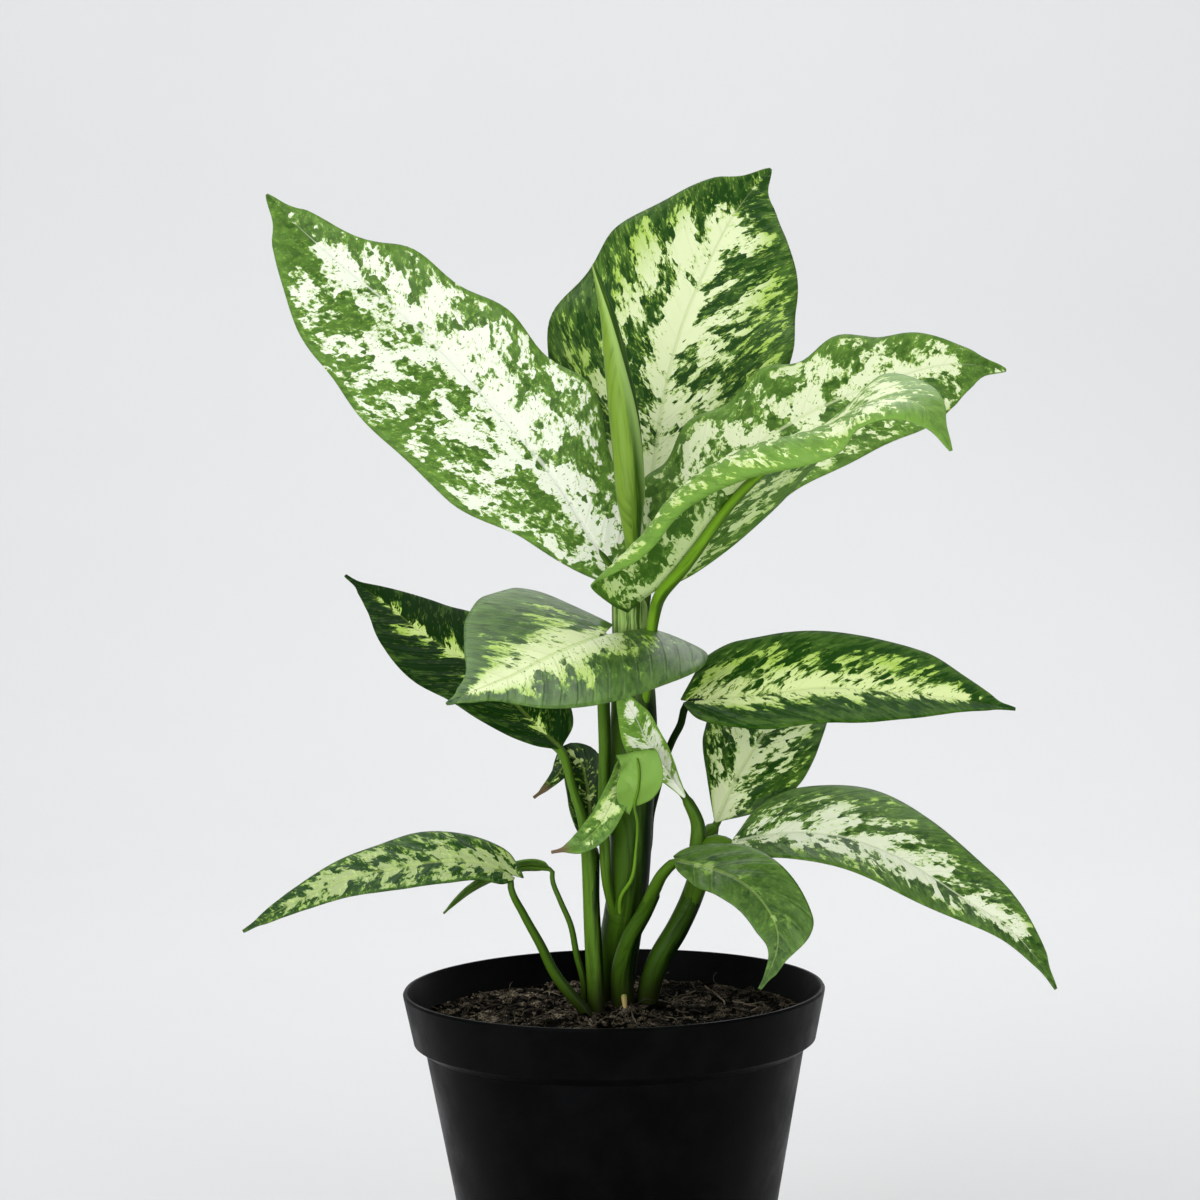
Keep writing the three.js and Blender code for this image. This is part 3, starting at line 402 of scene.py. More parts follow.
# the values among them that the leaf pattern takes
PATTERN_KEYS = ("seed", "cream", "spread", "lopsided", "tip", "streaks", "blotches", "specks",
                "dashes", "light", "midrib", "soft", "grain")
UNDERSIDE_TINT = 0.3      # share of the underside's own tint
LOOKS = {
    "leaf_crown_left": dict(seed=1.0, cream=0.46, spread=1.3, pale=1.0, specks=0.7, light=0.62,
                            blotches=1.2, streaks=0.15, midrib=1.3, grain=1.4, dashes=1.0),
    "leaf_crown_back": dict(seed=2.3, cream=0.58, pale=0.5, streaks=0.55, light=0.22,
                            blotches=1.2, specks=0.9, midrib=1.3, grain=1.1),
    "leaf_crown_right": dict(seed=3.1, cream=0.43, spread=1.2, pale=0.6, specks=0.6,
                             light=0.6, blotches=1.2, streaks=0.2, grain=1.4, dashes=0.8),
    "leaf_crown_front": dict(seed=4.7, cream=0.45, spread=1.1, pale=0.5, light=1.0, grain=1.1,
                             under_light=0.2, under_cream=1.0, stalk=1.15, glow=0.05),
    "leaf_left_back": dict(seed=5.9, spread=0.36, dashes=1.0, streaks=0.85, light=0.0,
                           midrib=0.1, rib=0.15, stalk=0.8, deep=0.6, gloss=0.04, grain=1.1,
                           blotches=0.7),
    "leaf_front": dict(seed=6.2, cream=0.7, spread=0.54, pale=0.35, streaks=0.7, specks=0.05,
                       light=0.35, blotches=0.8, soft=0.06, gloss=0.5, stalk=0.75, grain=0.9,
                       glow=0.03, dashes=1.0),
    "leaf_right": dict(seed=7.7, cream=0.62, spread=0.62, pale=0.15, streaks=0.7, light=0.15,
                       lopsided=-0.6, blotches=0.8, rib=0.15, stalk=0.1, soft=0.04, gloss=0.04,
                       specks=0.1, grain=1.0, dashes=1.0),
    "leaf_right_up": dict(seed=8.4, cream=0.47, spread=1.0, pale=0.5, light=0.2, streaks=0.6,
                          grain=1.5),
    "leaf_right_low": dict(seed=9.2, cream=0.42, spread=0.9, pale=0.8, light=0.4, streaks=0.5,
                           grain=1.1),
    "leaf_front_low": dict(seed=10.6, cream=0.08, spread=0.5, pale=0.1, light=0.5, midrib=0.1,
                           rib=0.25, gloss=0.5, cover=0.35),
    "leaf_left_low": dict(seed=11.3, cream=0.3, spread=1.2, pale=0.2, specks=0.8, light=0.15,
                          rib=0.35, stalk=0.65, cover=0.5, grain=1.6, gloss=0.3),
    "leaf_left_thin": dict(seed=12.1, cream=0.1, spread=0.5, pale=0.1, light=0.5, midrib=0.0),
    "leaf_shoot_pale": dict(seed=13.5, cream=0.52, spread=1.1, pale=1.0, light=1.0,
                            lopsided=0.4, specks=0.8, glow=0.0, streaks=0.9, gloss=0.05),
    "leaf_curled": dict(seed=14.8, cream=0.2, spread=0.9, pale=0.3, light=0.6, rib=0.15,
                        under_cream=0.08, under_light=1.3, under_specks=0.0, stalk=1.0, dry=0.88,
                        grain=1.0, cover=0.75, glow=0.0),
    "leaf_left_tuft": dict(seed=15.4, cream=0.18, pale=0.1, light=0.0, rib=0.3, specks=0.9,
                           dry=0.84, deep=0.4),
}


# ---------- curves through points ----------
def through(values, t, stations=None):
    """Smooth values at t through the given ones, never past a peak or a dip."""
    v = np.atleast_1d(np.asarray(values, float))
    if len(v) == 1:
        return np.full(len(t), v[0])
    x = np.linspace(0, 1, len(v)) if stations is None else np.asarray(stations, float)
    rise = np.diff(v) / np.diff(x)
    slope = np.zeros(len(v))
    slope[0], slope[-1] = rise[0], rise[-1]
    for i in range(1, len(v) - 1):
        a, b = rise[i - 1], rise[i]
        slope[i] = 0 if a * b <= 0 else 2 * a * b / (a + b)
    return hermite(v, slope, x, t)


def hermite(v, slope, x, t):
    """Cubic between stations x; also works on rows of coordinates."""
    k = np.clip(np.searchsorted(x, t, side="right") - 1, 0, len(x) - 2)
    h = x[k + 1] - x[k]
    s = (t - x[k]) / h
    if v.ndim > 1:
        h, s = h[:, None], s[:, None]
    return ((2 * s ** 3 - 3 * s ** 2 + 1) * v[k] + (s ** 3 - 2 * s ** 2 + s) * h * slope[k]
            + (3 * s ** 2 - 2 * s ** 3) * v[k + 1] + (s ** 3 - s ** 2) * h * slope[k + 1])


def path_through(points, t):
    """Positions and directions at t along a smooth path through points."""
    p = np.asarray(points, float)
    x = np.r_[0, np.cumsum(np.linalg.norm(np.diff(p, axis=0), axis=1))]
    x /= x[-1]
    chord = np.diff(p, axis=0) / np.diff(x)[:, None]
    m = np.zeros_like(p)
    for i in range(1, len(p) - 1):
        before, after = x[i] - x[i - 1], x[i + 1] - x[i]
        m[i] = (chord[i - 1] * after + chord[i] * before) / (before + after)
    bent = len(p) > 2
    m[0] = 1.5 * chord[0] - 0.5 * m[1] if bent else chord[0]
    m[-1] = 1.5 * chord[-1] - 0.5 * m[-2] if bent else chord[0]
    t = np.clip(t, 0, 1)
    step = 1e-4
    ahead = hermite(p, m, x, np.minimum(t + step, 1))
    behind = hermite(p, m, x, np.maximum(t - step, 0))
    return hermite(p, m, x, t), unit(ahead - behind)


def unit(v):
    return v / np.linalg.norm(v, axis=-1, keepdims=True)


def square_to(v, along):
    """The part of v at right angles to along, as a unit vector."""
    return unit(v - (v * along).sum(-1, keepdims=True) * along)


def path_length(points):
    at, _ = path_through(points, np.linspace(0, 1, LENGTH_POINTS))
    return np.linalg.norm(np.diff(at, axis=0), axis=1).sum()


# ---------- meshes shaped from a grid ----------
def select_none():
    bpy.ops.object.select_all(action="DESELECT")


def select_only(obj):
    select_none()
    obj.select_set(True)
    bpy.context.view_layer.objects.active = obj


def add_grid(name, columns, rows):
    """A grid primitive, and for each of its points how far across and along it lies (0 to 1)."""
    select_none()
    bpy.ops.mesh.primitive_grid_add(x_subdivisions=columns, y_subdivisions=rows, size=1)
    obj = bpy.context.object
    obj.name = obj.data.name = name
    flat = np.zeros(len(obj.data.vertices) * 3)
    obj.data.vertices.foreach_get("co", flat)
    return obj, flat[0::3] + 0.5, flat[1::3] + 0.5


def place_points(obj, points):
    """Moves the mesh's points, given in millimetres."""
    obj.data.vertices.foreach_set("co", (np.asarray(points) * MM).ravel())
    obj.data.update()


def add_map(obj, name, across, along):
    """A UV map with one value pair for each point of the mesh."""
    mesh = obj.data
    corner = np.zeros(len(mesh.loops), int)
    mesh.loops.foreach_get("vertex_index", corner)
    layer = mesh.uv_layers.get(name) or mesh.uv_layers.new(name=name)
    layer.data.foreach_set("uv", np.stack([across[corner], along[corner]], 1).ravel())


def set_maps(obj, place, fibre):
    """place is the position on the piece; fibre is in centimetres, along its veins or fibres."""
    while obj.data.uv_layers:
        obj.data.uv_layers.remove(obj.data.uv_layers[0])
    add_map(obj, "place", *place)
    add_map(obj, "fibre", *fibre)


def close_up(obj):
    """Joins the two edges of a rolled-up grid and fills the holes at its ends."""
    select_only(obj)
    bpy.ops.object.mode_set(mode="EDIT")
    bpy.ops.mesh.select_all(action="SELECT")
    bpy.ops.mesh.remove_doubles(threshold=SEAM_GAP)
    bpy.ops.mesh.select_all(action="SELECT")
    bpy.ops.mesh.fill_holes(sides=0)
    bpy.ops.object.mode_set(mode="OBJECT")


def join(objects, name):
    select_none()
    for obj in objects:
        obj.select_set(True)
    bpy.context.view_layer.objects.active = objects[0]
    bpy.ops.object.join()
    objects[0].name = objects[0].data.name = name
    return objects[0]


def apply_modifier(obj, kind, **settings):
    select_only(obj)
    modifier = obj.modifiers.new(kind.title(), kind)
    for key, value in settings.items():
        setattr(modifier, key, value)
    bpy.ops.object.modifier_apply(modifier=modifier.name)


def smooth(obj):
    select_only(obj)
    bpy.ops.object.shade_smooth()


def tube(name, path, radius_at, sides, rows):
    """A closed tube along a path, its radius given by radius_at(t), domed at both ends."""
    obj, around, along = add_grid(name, sides, rows)
    t = np.clip(along, 0, 1)
    at, direction = path_through(path, t)
    front = square_to(np.broadcast_to(FRONT, at.shape), direction)
    side = np.cross(direction, front)
    angle = FULL_TURN * around
    span = path_length(path)
    radius = radius_at(t)
    to_end = np.minimum(t, 1 - t) * span / radius
    dome = np.clip(1 - (1 - np.minimum(to_end, 1)) ** 2, ROUNDED_END, 1)
    radius = radius * np.sqrt(dome)
    ring = np.cos(angle)[:, None] * front + np.sin(angle)[:, None] * side
    place_points(obj, at + radius[:, None] * ring)
    set_maps(obj, (around, t), (around * FULL_TURN * radius_at(t) / 10, t * span / 10))
    close_up(obj)
    smooth(obj)
    return obj


# ---------- leaves ----------
def midrib_frame(leaf, u):
    """Point, direction, upper normal and right-hand direction along a leaf's midrib."""
    at, along = path_through(leaf["midrib"], u)
    face = unit(np.asarray(leaf["face"], float))
    normal = np.stack([through(face[:, i], u) for i in range(3)], -1)
    normal = square_to(normal, along)
    return at, along, normal, np.cross(along, normal)


def half_width(leaf, side, u):
    """Half width of the blade at u, rounded off at the base and drawn out at the tip."""
    width = through(leaf[side]["width"], u, WIDTH_STATIONS)
    turn = np.sqrt(1 - (1 - np.minimum(u / BASE_ROUNDING, 1)) ** 2)
    hollow = np.sin(math.pi * np.clip((u - TIP_START) / (1 - TIP_START), 0, 1))
    width = width * (BASE_SHARE + (1 - BASE_SHARE) * turn) * (1 - TIP_HOLLOW * hollow)
    return np.maximum(width, THINNEST_TIP)


def along_section(width, fold, curl, bend, a):
    """Out and up from the midrib, walking to a across a half that turns by curl."""
    out, up = np.zeros(len(a)), np.zeros(len(a))
    for i in range(SECTION_STEPS):
        angle = fold + curl * (a * (i + 0.5) / SECTION_STEPS) ** bend
        out += np.cos(angle)
        up += np.sin(angle)
    step = width * a / SECTION_STEPS
    return out * step, up * step


def blade_surface(leaf, u, s):
    """Middle surface of the blade at u along it and s (-1 to 1) across it."""
    at, along, normal, right = midrib_frame(leaf, u)
    a = np.abs(s)
    out, up, back, across = (np.zeros(len(u)) for _ in range(4))
    for side, sign in (("left", -1), ("right", 1)):
        shape = leaf[side]
        on = (s * sign > 0) | ((s == 0) & (sign > 0))
        w = half_width(leaf, side, u)
        fold = np.radians(through(shape["fold"], u))
        curl = np.radians(through(shape["curl"], u))
        height, count, phase = shape["wave"]
        full = w / max(shape["width"])
        wave = height * full * np.sin(FULL_TURN * (count * u + phase)) * a ** 2
        reach = np.maximum(1 - u / LOBE_REACH, 0) ** 2
        x, z = along_section(w, fold, curl, shape["bend"], a)
        out[on] = (sign * (x + WAVE_LEAN * wave))[on]
        up[on] = (z + wave)[on]
        back[on] = (shape["lobe"] * a ** LOBE_POWER * reach)[on]
        across[on] = (sign * w * a)[on]
    points = at + right * out[:, None] + normal * up[:, None] - along * back[:, None]
    return points, across, back


def make_blade(name, leaf, thickness, relief, materials):
    """The blade: a grid laid on its surface, ribbed by its side veins and given thickness."""
    obj, x, y = add_grid(name, BLADE_COLUMNS, BLADE_ROWS)
    for material in materials:
        obj.data.materials.append(material)
    s = 2 * x - 1
    s = np.sign(s) * np.abs(s) ** COLUMN_CROWDING
    u = 0.5 * y + 0.5 * (0.5 - 0.5 * np.cos(math.pi * y))  # rows lie closer at both ends
    points, across, back = blade_surface(leaf, u, s)
    distance = u * path_length(leaf["midrib"]) - back
    reach = np.abs(across)
    vein = distance - VEIN_SLANT * reach - VEIN_CURVE * reach ** 2 / 10
    _, _, normal, _ = midrib_frame(leaf, u)
    fade = np.minimum(reach / VEIN_RISE, 1) * (1 - np.abs(s) ** VEIN_FADE)
    ridge = np.cos(FULL_TURN * vein / VEIN_SPACING) * fade
    place_points(obj, points + normal * (relief * ridge)[:, None])
    set_maps(obj, (s, u), (vein / 10, across / 10))
    apply_modifier(obj, "SOLIDIFY", thickness=thickness * MM, offset=0, material_offset=1,
                   material_offset_rim=0)
    smooth(obj)
    return obj


def rib_radius(thick, x):
    """Radius of the midrib under the blade at x along it."""
    return np.maximum(thick * (1 - np.clip(x, 0, 1)) ** RIB_TAPER, THINNEST_RIB)


def root_of(leaf, host):
    """Points on which the stalk sinks into the stem that carries it, and its radius there."""
    start = np.asarray(leaf["stalk"][0], float)
    axis, _ = path_through(host["path"], np.linspace(0, 1, HOST_STEPS + 1))
    nearest = int(np.linalg.norm(axis - start, axis=1).argmin())
    points = []
    for depth, sunk in ROOTING:
        below = max(nearest - int(HOST_STEPS * depth / path_length(host["path"])), 0)
        beside = start + axis[below] - axis[nearest]
        points.append((beside + sunk * (axis[below] - beside)).tolist())
    radius = leaf["stalk_radius"][0]
    if nearest > STEM_END and host is not STEMS["stem_main"]:
        radius = max(radius, ROOT_SHARE * host["radius"][-1])
    return points, radius


def stalk_path(leaf):
    """The stalk's points, carried on under the blade as its midrib."""
    x = np.linspace(0, 1, RIB_POINTS)
    at, along, normal, _ = midrib_frame(leaf, RIB_END * x)
    drop = rib_radius(leaf["stalk_radius"][1], x) + RIB_SUNK
    drop[0] *= RIB_START
    under = at - normal * drop[:, None]
    under[0] -= along[0]
    return [*leaf["stalk"], *under.tolist()]


def make_stalk(name, leaf):
    """The stalk from its root to the tip of the midrib, thinning as it goes."""
    host = STEMS.get(leaf.get("host"))
    path = stalk_path(leaf)
    start, thick = leaf["stalk_radius"]
    root_radius = start
    bare = list(leaf["stalk"])
    if host:
        roots, root_radius = root_of(leaf, host)
        path[:0] = roots
        bare[:0] = roots
    total = path_length(path)
    share = path_length([*bare, path[len(bare)]]) / total
    rooted = path_length(bare[:len(ROOTING) + 1]) / total if host else 0.0

    def radius(t):
        shaft = start + (thick - start) * np.clip((t - rooted) / (share - rooted), 0, 1)
        flare = np.clip(1 - (t - rooted) * total / ROOT_TAPER, 0, 1)
        shaft = shaft + (root_radius - start) * flare
        return np.where(t < share, shaft, rib_radius(thick, (t - share) / (1 - share)))

    rows = int(STALK_ROWS + total / STALK_ROW_SPACING)
    return tube(name, path, radius, STALK_SIDES, rows)


# ---------- node trees ----------
class Wiring:
    """Short calls that add nodes to one tree and join them."""

    def __init__(self, tree):
        self.tree = tree

    def add(self, kind, inputs=(), **settings):
        node = self.tree.nodes.new(kind)
        for key, value in settings.items():
            setattr(node, key, value)
        for key, value in dict(inputs).items():
            self.put(node.inputs[key], value)
        return node

    def put(self, socket, value):
        if isinstance(value, bpy.types.NodeSocket):
            self.tree.links.new(value, socket)
        else:
            socket.default_value = value

    def math(self, operation, *values, clamp=False):
        node = self.add("ShaderNodeMath", enumerate(values), operation=operation)
        node.use_clamp = clamp
        return node.outputs[0]

    def plus(self, a, b, clamp=False):
        return self.math("ADD", a, b, clamp=clamp)

    def minus(self, a, b):
        return self.math("SUBTRACT", a, b)

    def times(self, a, b, clamp=False):
        return self.math("MULTIPLY", a, b, clamp=clamp)

    def scaled(self, value, factor, base):
        """base + factor * value"""
        return self.math("MULTIPLY_ADD", value, factor, base)

    def vary(self, base, pattern, amount):
        """Moves base up and down with a pattern that goes from 0 to 1."""
        return self.scaled(self.minus(pattern, 0.5), amount, base)

    def between(self, value, low, high, start=0.0, end=1.0):
        """Goes smoothly from start to end while value goes from low to high."""
        keys = {"Value": value, "From Min": low, "From Max": high, "To Min": start, "To Max": end}
        node = self.add("ShaderNodeMapRange", keys, interpolation_type="SMOOTHSTEP")
        return node.outputs[0]

    def mix(self, factor, a, b):
        """From a to b, which are sockets or colours as a screen shows them."""
        a, b = (c if isinstance(c, bpy.types.NodeSocket) else linear(c) for c in (a, b))
        node = self.add("ShaderNodeMix", {0: factor, 6: a, 7: b}, data_type="RGBA")
        return node.outputs[2]

    def noise(self, vector, scale=1.0, detail=2.0, roughness=0.5, distortion=0.0):
        keys = {"Vector": vector, "Scale": scale, "Detail": detail, "Roughness": roughness,
                "Distortion": distortion}
        return self.add("ShaderNodeTexNoise", keys).outputs[0]

    def stretched(self, vector, scale):
        return self.add("ShaderNodeMapping", {"Vector": vector, "Scale": scale}).outputs[0]

    def uv(self, name):
        return self.add("ShaderNodeUVMap", uv_map=name).outputs[0]

    def split(self, vector):
        return self.add("ShaderNodeSeparateXYZ", {0: vector}).outputs

    def join(self, x, y, z=0.0):
        return self.add("ShaderNodeCombineXYZ", {0: x, 1: y, 2: z}).outputs[0]

    def group(self, tree, values):
        node = self.add("ShaderNodeGroup", node_tree=tree)
        for key, value in values.items():
            self.put(node.inputs[key], value)
        return node.outputs


def new_group(name, inputs, outputs):
    """A node group of plain numbers, with inputs {name: default} and the names of its outputs."""
    tree = bpy.data.node_groups.new(name, "ShaderNodeTree")
    for key, value in inputs.items():
        socket = tree.interface.new_socket(key, in_out="INPUT", socket_type="NodeSocketFloat")
        socket.default_value = value
    for key in outputs:
        tree.interface.new_socket(key, in_out="OUTPUT", socket_type="NodeSocketFloat")
    w = Wiring(tree)
    start, end = w.add("NodeGroupInput"), w.add("NodeGroupOutput")
    return tree, w, start.outputs, end.inputs


# ---------- colours ----------
def linear(colour):
    """Scene colour, with alpha, from red, green and blue as a screen shows them."""
    parts = [c / 12.92 if c <= 0.04045 else ((c + 0.055) / 1.055) ** 2.4 for c in colour[:3]]
    return (*parts, 1.0)


def blend_colours(a, b, share):
    return tuple(p + (q - p) * share for p, q in zip(a, b))


# ---------- patterns shared by materials ----------
def seeded(w, vector, seed):
    """Moves a pattern to its own place for each seed."""
    shift = w.join(w.times(seed, 3.7), w.times(seed, 1.9), seed)
    return w.add("ShaderNodeVectorMath", {0: vector, 1: shift}, operation="ADD").outputs[0]


def leaf_pattern_group():
    """Cream patches between green blotches, pale specks, midrib, veins and relief."""
    inputs = {key.title(): LOOK_DEFAULTS[key] for key in PATTERN_KEYS}
    outputs = ("Cream", "Yellow", "Green", "Specks", "Rib", "Height")
    tree, w, g, out = new_group("leaf_pattern", inputs, outputs)
    place = w.split(w.uv("place"))
    fibre = w.split(w.uv("fibre"))
    side = w.math("ABSOLUTE", place[0])
    across = w.math("ABSOLUTE", fibre[1])

    # patches have lumpy edges, one cell at a time, and are drawn out along the side veins
    upright = w.times(w.minus(1.0, g["Streaks"]), across)
    squeezed = w.scaled(g["Streaks"], -0.65, 1.2)
    at = w.join(w.plus(fibre[0], upright), w.times(fibre[1], squeezed))
    at = seeded(w, at, g["Seed"])
    wobble = w.add("ShaderNodeTexNoise", {"Vector": at, "Scale": 6.0, "Detail": 3.0})
    keys = {0: wobble.outputs["Color"], 1: (0.16, 0.16, 0.0), 2: at}
    bent = w.add("ShaderNodeVectorMath", keys, operation="MULTIPLY_ADD").outputs[0]
    cells = w.add("ShaderNodeTexVoronoi", {"Vector": bent, "Scale": 5.5}).outputs
    lump = w.split(cells["Color"])[0]
    blotches = w.noise(cells["Position"], 1.5, detail=0.0)
    patches = w.noise(cells["Position"], 3.0, detail=1.0)
    crumbs = w.noise(bent, 5.0, detail=3, roughness=0.6)
    flecks = w.noise(w.stretched(bent, (1.4, 0.7, 1)), 12.0, detail=1.5)

    # how strongly the leaf is cream here; above zero it is
    field = w.times(w.minus(blotches, 0.5), g["Blotches"])
    field = w.vary(field, patches, 0.7)
    finer = w.times(w.between(side, 0.2, 0.9, 0.7, 1.0), g["Grain"])
    field = w.vary(field, crumbs, finer)
    field = w.vary(field, lump, w.between(side, 0.2, 0.9, 0.14, 0.32))
    field = w.vary(field, g["Cream"], 0.6)
    stripe = w.times(w.between(across, 0.05, 0.6, 0.16, 0.0), g["Midrib"])
    field = w.plus(field, stripe)
    field = w.scaled(place[0], w.times(g["Lopsided"], 0.3), field)
    reach = w.vary(side, patches, 0.3)
    inner = w.minus(g["Spread"], 0.45)
    # it gives way past its spread, near the tip and the margin, and where there are dashes
    for value, low, high, loss in (
            (reach, inner, w.plus(g["Spread"], 0.15), 0.3),
            (reach, g["Spread"], w.plus(g["Spread"], 0.5), 0.5),
            (place[1], w.minus(g["Tip"], 0.12), g["Tip"], 0.5),
            (side, 0.9, 0.98, 0.4),
            (flecks, 0.6, 0.72, w.times(g["Dashes"], 0.4))):
        field = w.minus(field, w.between(value, low, high, 0.0, loss))
    w.put(out["Cream"], w.between(field, w.times(g["Soft"], -1.0), g["Soft"]))

    # the patches turn yellow-green at their ragged ends and towards the margin
    near = w.between(field, 0.0, 0.14, 0.5, 0.0)
    edge = w.between(reach, inner, g["Spread"], 0.0, 0.8)
    w.put(out["Yellow"], w.plus(near, edge, clamp=True))

    shade = w.vary(g["Light"], patches, 0.9)
    shade = w.vary(shade, crumbs, 0.8)
    shade = w.plus(shade, w.between(field, -0.16, 0.0, -0.1, 0.35))
    shade = w.plus(shade, w.between(side, 0.5, 1.0, -0.05, 0.15), clamp=True)
    w.put(out["Green"], shade)

    speck = w.times(w.between(flecks, 0.56, 0.64), w.between(crumbs, 0.45, 0.55))
    speck = w.times(speck, w.between(field, -0.5, -0.08, 0.35, 1.0))
    w.put(out["Specks"], w.times(speck, g["Specks"], clamp=True))

    thick = w.scaled(place[1], -0.06, 0.075)
    rib = w.between(w.math("DIVIDE", across, thick), 0.5, 1.4, 1.0, 0.0)
    w.put(out["Rib"], w.times(rib, w.between(place[1], 0.8, 0.97, 1.0, 0.0)))

    turn = FULL_TURN / (VEIN_SPACING / 10)
    unsteady = w.scaled(crumbs, 0.08, fibre[0])
    wave = w.math("COSINE", w.times(unsteady, turn))
    groove = w.times(w.between(wave, 0.8, 1.0), -0.5)
    height = w.scaled(w.noise(bent, 30.0, detail=2), 0.3, groove)
    height = w.scaled(patches, 0.8, height)
    w.put(out["Height"], w.scaled(rib, -0.9, height))
    return tree


def stem_pattern_group():
    """Streaks along a stem or stalk, its side of painted light and its side of painted shade, faint
    rings and fine pores.
    """
    inputs = {"Seed": 0, "Rings": 0.0}
    tree, w, g, out = new_group("stem_pattern", inputs, ("Light", "Pale", "Height"))
    at = seeded(w, w.uv("fibre"), g["Seed"])
    streaks = w.noise(w.stretched(at, (5, 0.4, 1)), detail=3, roughness=0.6)
    around = w.split(w.uv("place"))[0]
    # painted light and shade: lighter towards the given side of the stem and darker on the far
    # side, broken up by the streaks
    turn = w.times(w.minus(around, PAINTED_LIGHT_SIDE), FULL_TURN)
    painted_light = w.scaled(w.math("COSINE", turn), 0.5, 0.5)
    field = w.vary(painted_light, streaks, 1.3)
    w.put(out["Light"], w.between(field, 0.35, 1.05))
    pale = w.noise(w.stretched(at, (7.0, 0.6, 1)), detail=3, roughness=0.65, distortion=0.4)
    w.put(out["Pale"], w.between(pale, 0.38, 0.6))
    along = w.split(at)[1]
    ring = w.math("SINE", w.times(along, 2.1))
    ring = w.times(w.between(ring, 0.96, 1.0), g["Rings"])
    fine = w.noise(w.stretched(at, (30, 9, 1)), detail=2)
    height = w.scaled(fine, 0.3, w.times(streaks, 0.6))
    w.put(out["Height"], w.plus(height, ring))
    return tree


def grain_group():
    """Fine uneven grain in object space, for plastic, peat and the floor."""
    inputs = {"Scale": 400.0, "Detail": 3.0}
    tree, w, g, out = new_group("grain", inputs, ("Fine", "Broad"))
    at = w.add("ShaderNodeTexCoord").outputs["Object"]
    w.put(out["Fine"], w.noise(at, g["Scale"], g["Detail"], 0.6))
    w.put(out["Broad"], w.noise(at, w.times(g["Scale"], 0.08), 3.0, 0.6))
    return tree


def shared(build):
    """The node group that build makes, made once."""
    name = build.__name__.removesuffix("_group")
    return bpy.data.node_groups.get(name) or build()


# ---------- materials ----------
def new_material(name, gloss):
    """A material with a Principled shader, the means to wire it, and the shader's sockets."""
    material = bpy.data.materials.new(name)
    material.use_nodes = True
    material.node_tree.nodes.clear()
    w = Wiring(material.node_tree)
    shader = w.add("ShaderNodeBsdfPrincipled", {"Specular IOR Level": gloss})
    w.add("ShaderNodeOutputMaterial", {"Surface": shader.outputs[0]})
    return material, w, shader.inputs


def set_surface(w, shader, colour, rough, height, depth, strength=1.0):
    """Gives the shader a colour, a roughness and the relief of a height, depth millimetres deep."""
    keys = {"Height": height, "Distance": depth * MM, "Strength": strength}
    w.put(shader["Base Color"], colour)
    w.put(shader["Roughness"], rough)
    w.put(shader["Normal"], w.add("ShaderNodeBump", keys).outputs[0])


def let_light_through(w, colour, share):
    """Mixes in light that passes through the blade."""
    surface = w.tree.get_output_node("ALL").inputs["Surface"]
    shader = surface.links[0].from_socket
    through_blade = w.add("ShaderNodeBsdfTranslucent", {"Color": colour}).outputs[0]
    mixed = w.add("ShaderNodeMixShader", {0: share, 1: shader, 2: through_blade})
    w.put(surface, mixed.outputs[0])


def leaf_material(name, look, s, underside=False):
    """One side of a leaf; the underside is tinted, rougher and has its own share of cream."""
    material, w, shader = new_material(name, look["gloss"])
    values = {key.title(): look[key] for key in PATTERN_KEYS}
    white = blend_colours(s.cream, s.white, look["pale"])
    dark, light, yellow = blend_colours(s.dark, s.deep, look["deep"]), s.light, s.yellow
    rib = blend_colours(s.yellow, s.white, look["pale"])
    cover, rougher, relief = look["cover"], 0.0, 0.6
    if underside:
        values["Light"] = look["under_light"]
        values["Specks"] *= look["under_specks"]
        dark, light, yellow, white = (blend_colours(c, s.under, UNDERSIDE_TINT)
                                      for c in (dark, light, yellow, white))
        rib, cover, rougher, relief = s.rib, look["under_cream"], 0.12, -0.5
    pattern = w.group(shared(leaf_pattern_group), values)
    green = w.mix(pattern["Green"], dark, light)
    green = w.mix(pattern["Specks"], green, yellow)
    patches = w.mix(pattern["Yellow"], white, yellow)
    colour = w.mix(w.times(pattern["Cream"], cover), green, patches)
    colour = w.mix(w.times(pattern["Rib"], look["rib"]), colour, rib)
    if look["dry"] < 1:
        along = w.split(w.uv("place"))[1]
        withered = w.between(along, look["dry"], look["dry"] + 0.08)
        colour = w.mix(withered, colour, s.dry)
    rough = w.plus(w.between(pattern["Height"], -0.6, 0.9, 0.48, 0.34), rougher)
    set_surface(w, shader, colour, rough, pattern["Height"], 0.35, relief)
    let_light_through(w, colour, look["glow"])
    return material


def stem_material(name, dark, light, soiled, seed, rings=0.0, pale=None):
    """Green skin with painted light and shade round it, darker with soil and painted shade where
    it comes out of the soil, and pale flecks on the front of its top if a colour is given for them."""
    material, w, shader = new_material(name, 0.1)
    pattern = w.group(shared(stem_pattern_group), {"Seed": seed, "Rings": rings})
    # painted light and shade: from the shaded colour to the lit one round the stem
    colour = w.mix(pattern["Light"], dark, light)
    if pale is not None:
        place = w.split(w.uv("place"))
        top = w.between(place[1], 0.74, 0.86)
        turn = w.times(w.minus(place[0], 0.04), FULL_TURN)
        front = w.between(w.math("COSINE", turn), 0.0, 0.3)
        colour = w.mix(w.times(top, 0.5), colour, light)
        share = w.times(w.times(pattern["Pale"], top), front)
        colour = w.mix(w.times(share, 0.7), colour, pale)
    height = w.split(w.add("ShaderNodeTexCoord").outputs["Object"])[2]
    # soil and painted shade darken the stem where it comes out of the soil
    colour = w.mix(w.between(height, *SOIL_AND_SHADE_HEIGHTS, 0.9, 0.0), colour, soiled)
    rough = w.between(pattern["Light"], 0, 1, 0.5, 0.36)
    set_surface(w, shader, colour, rough, pattern["Height"], 0.3, 0.5)
    return material


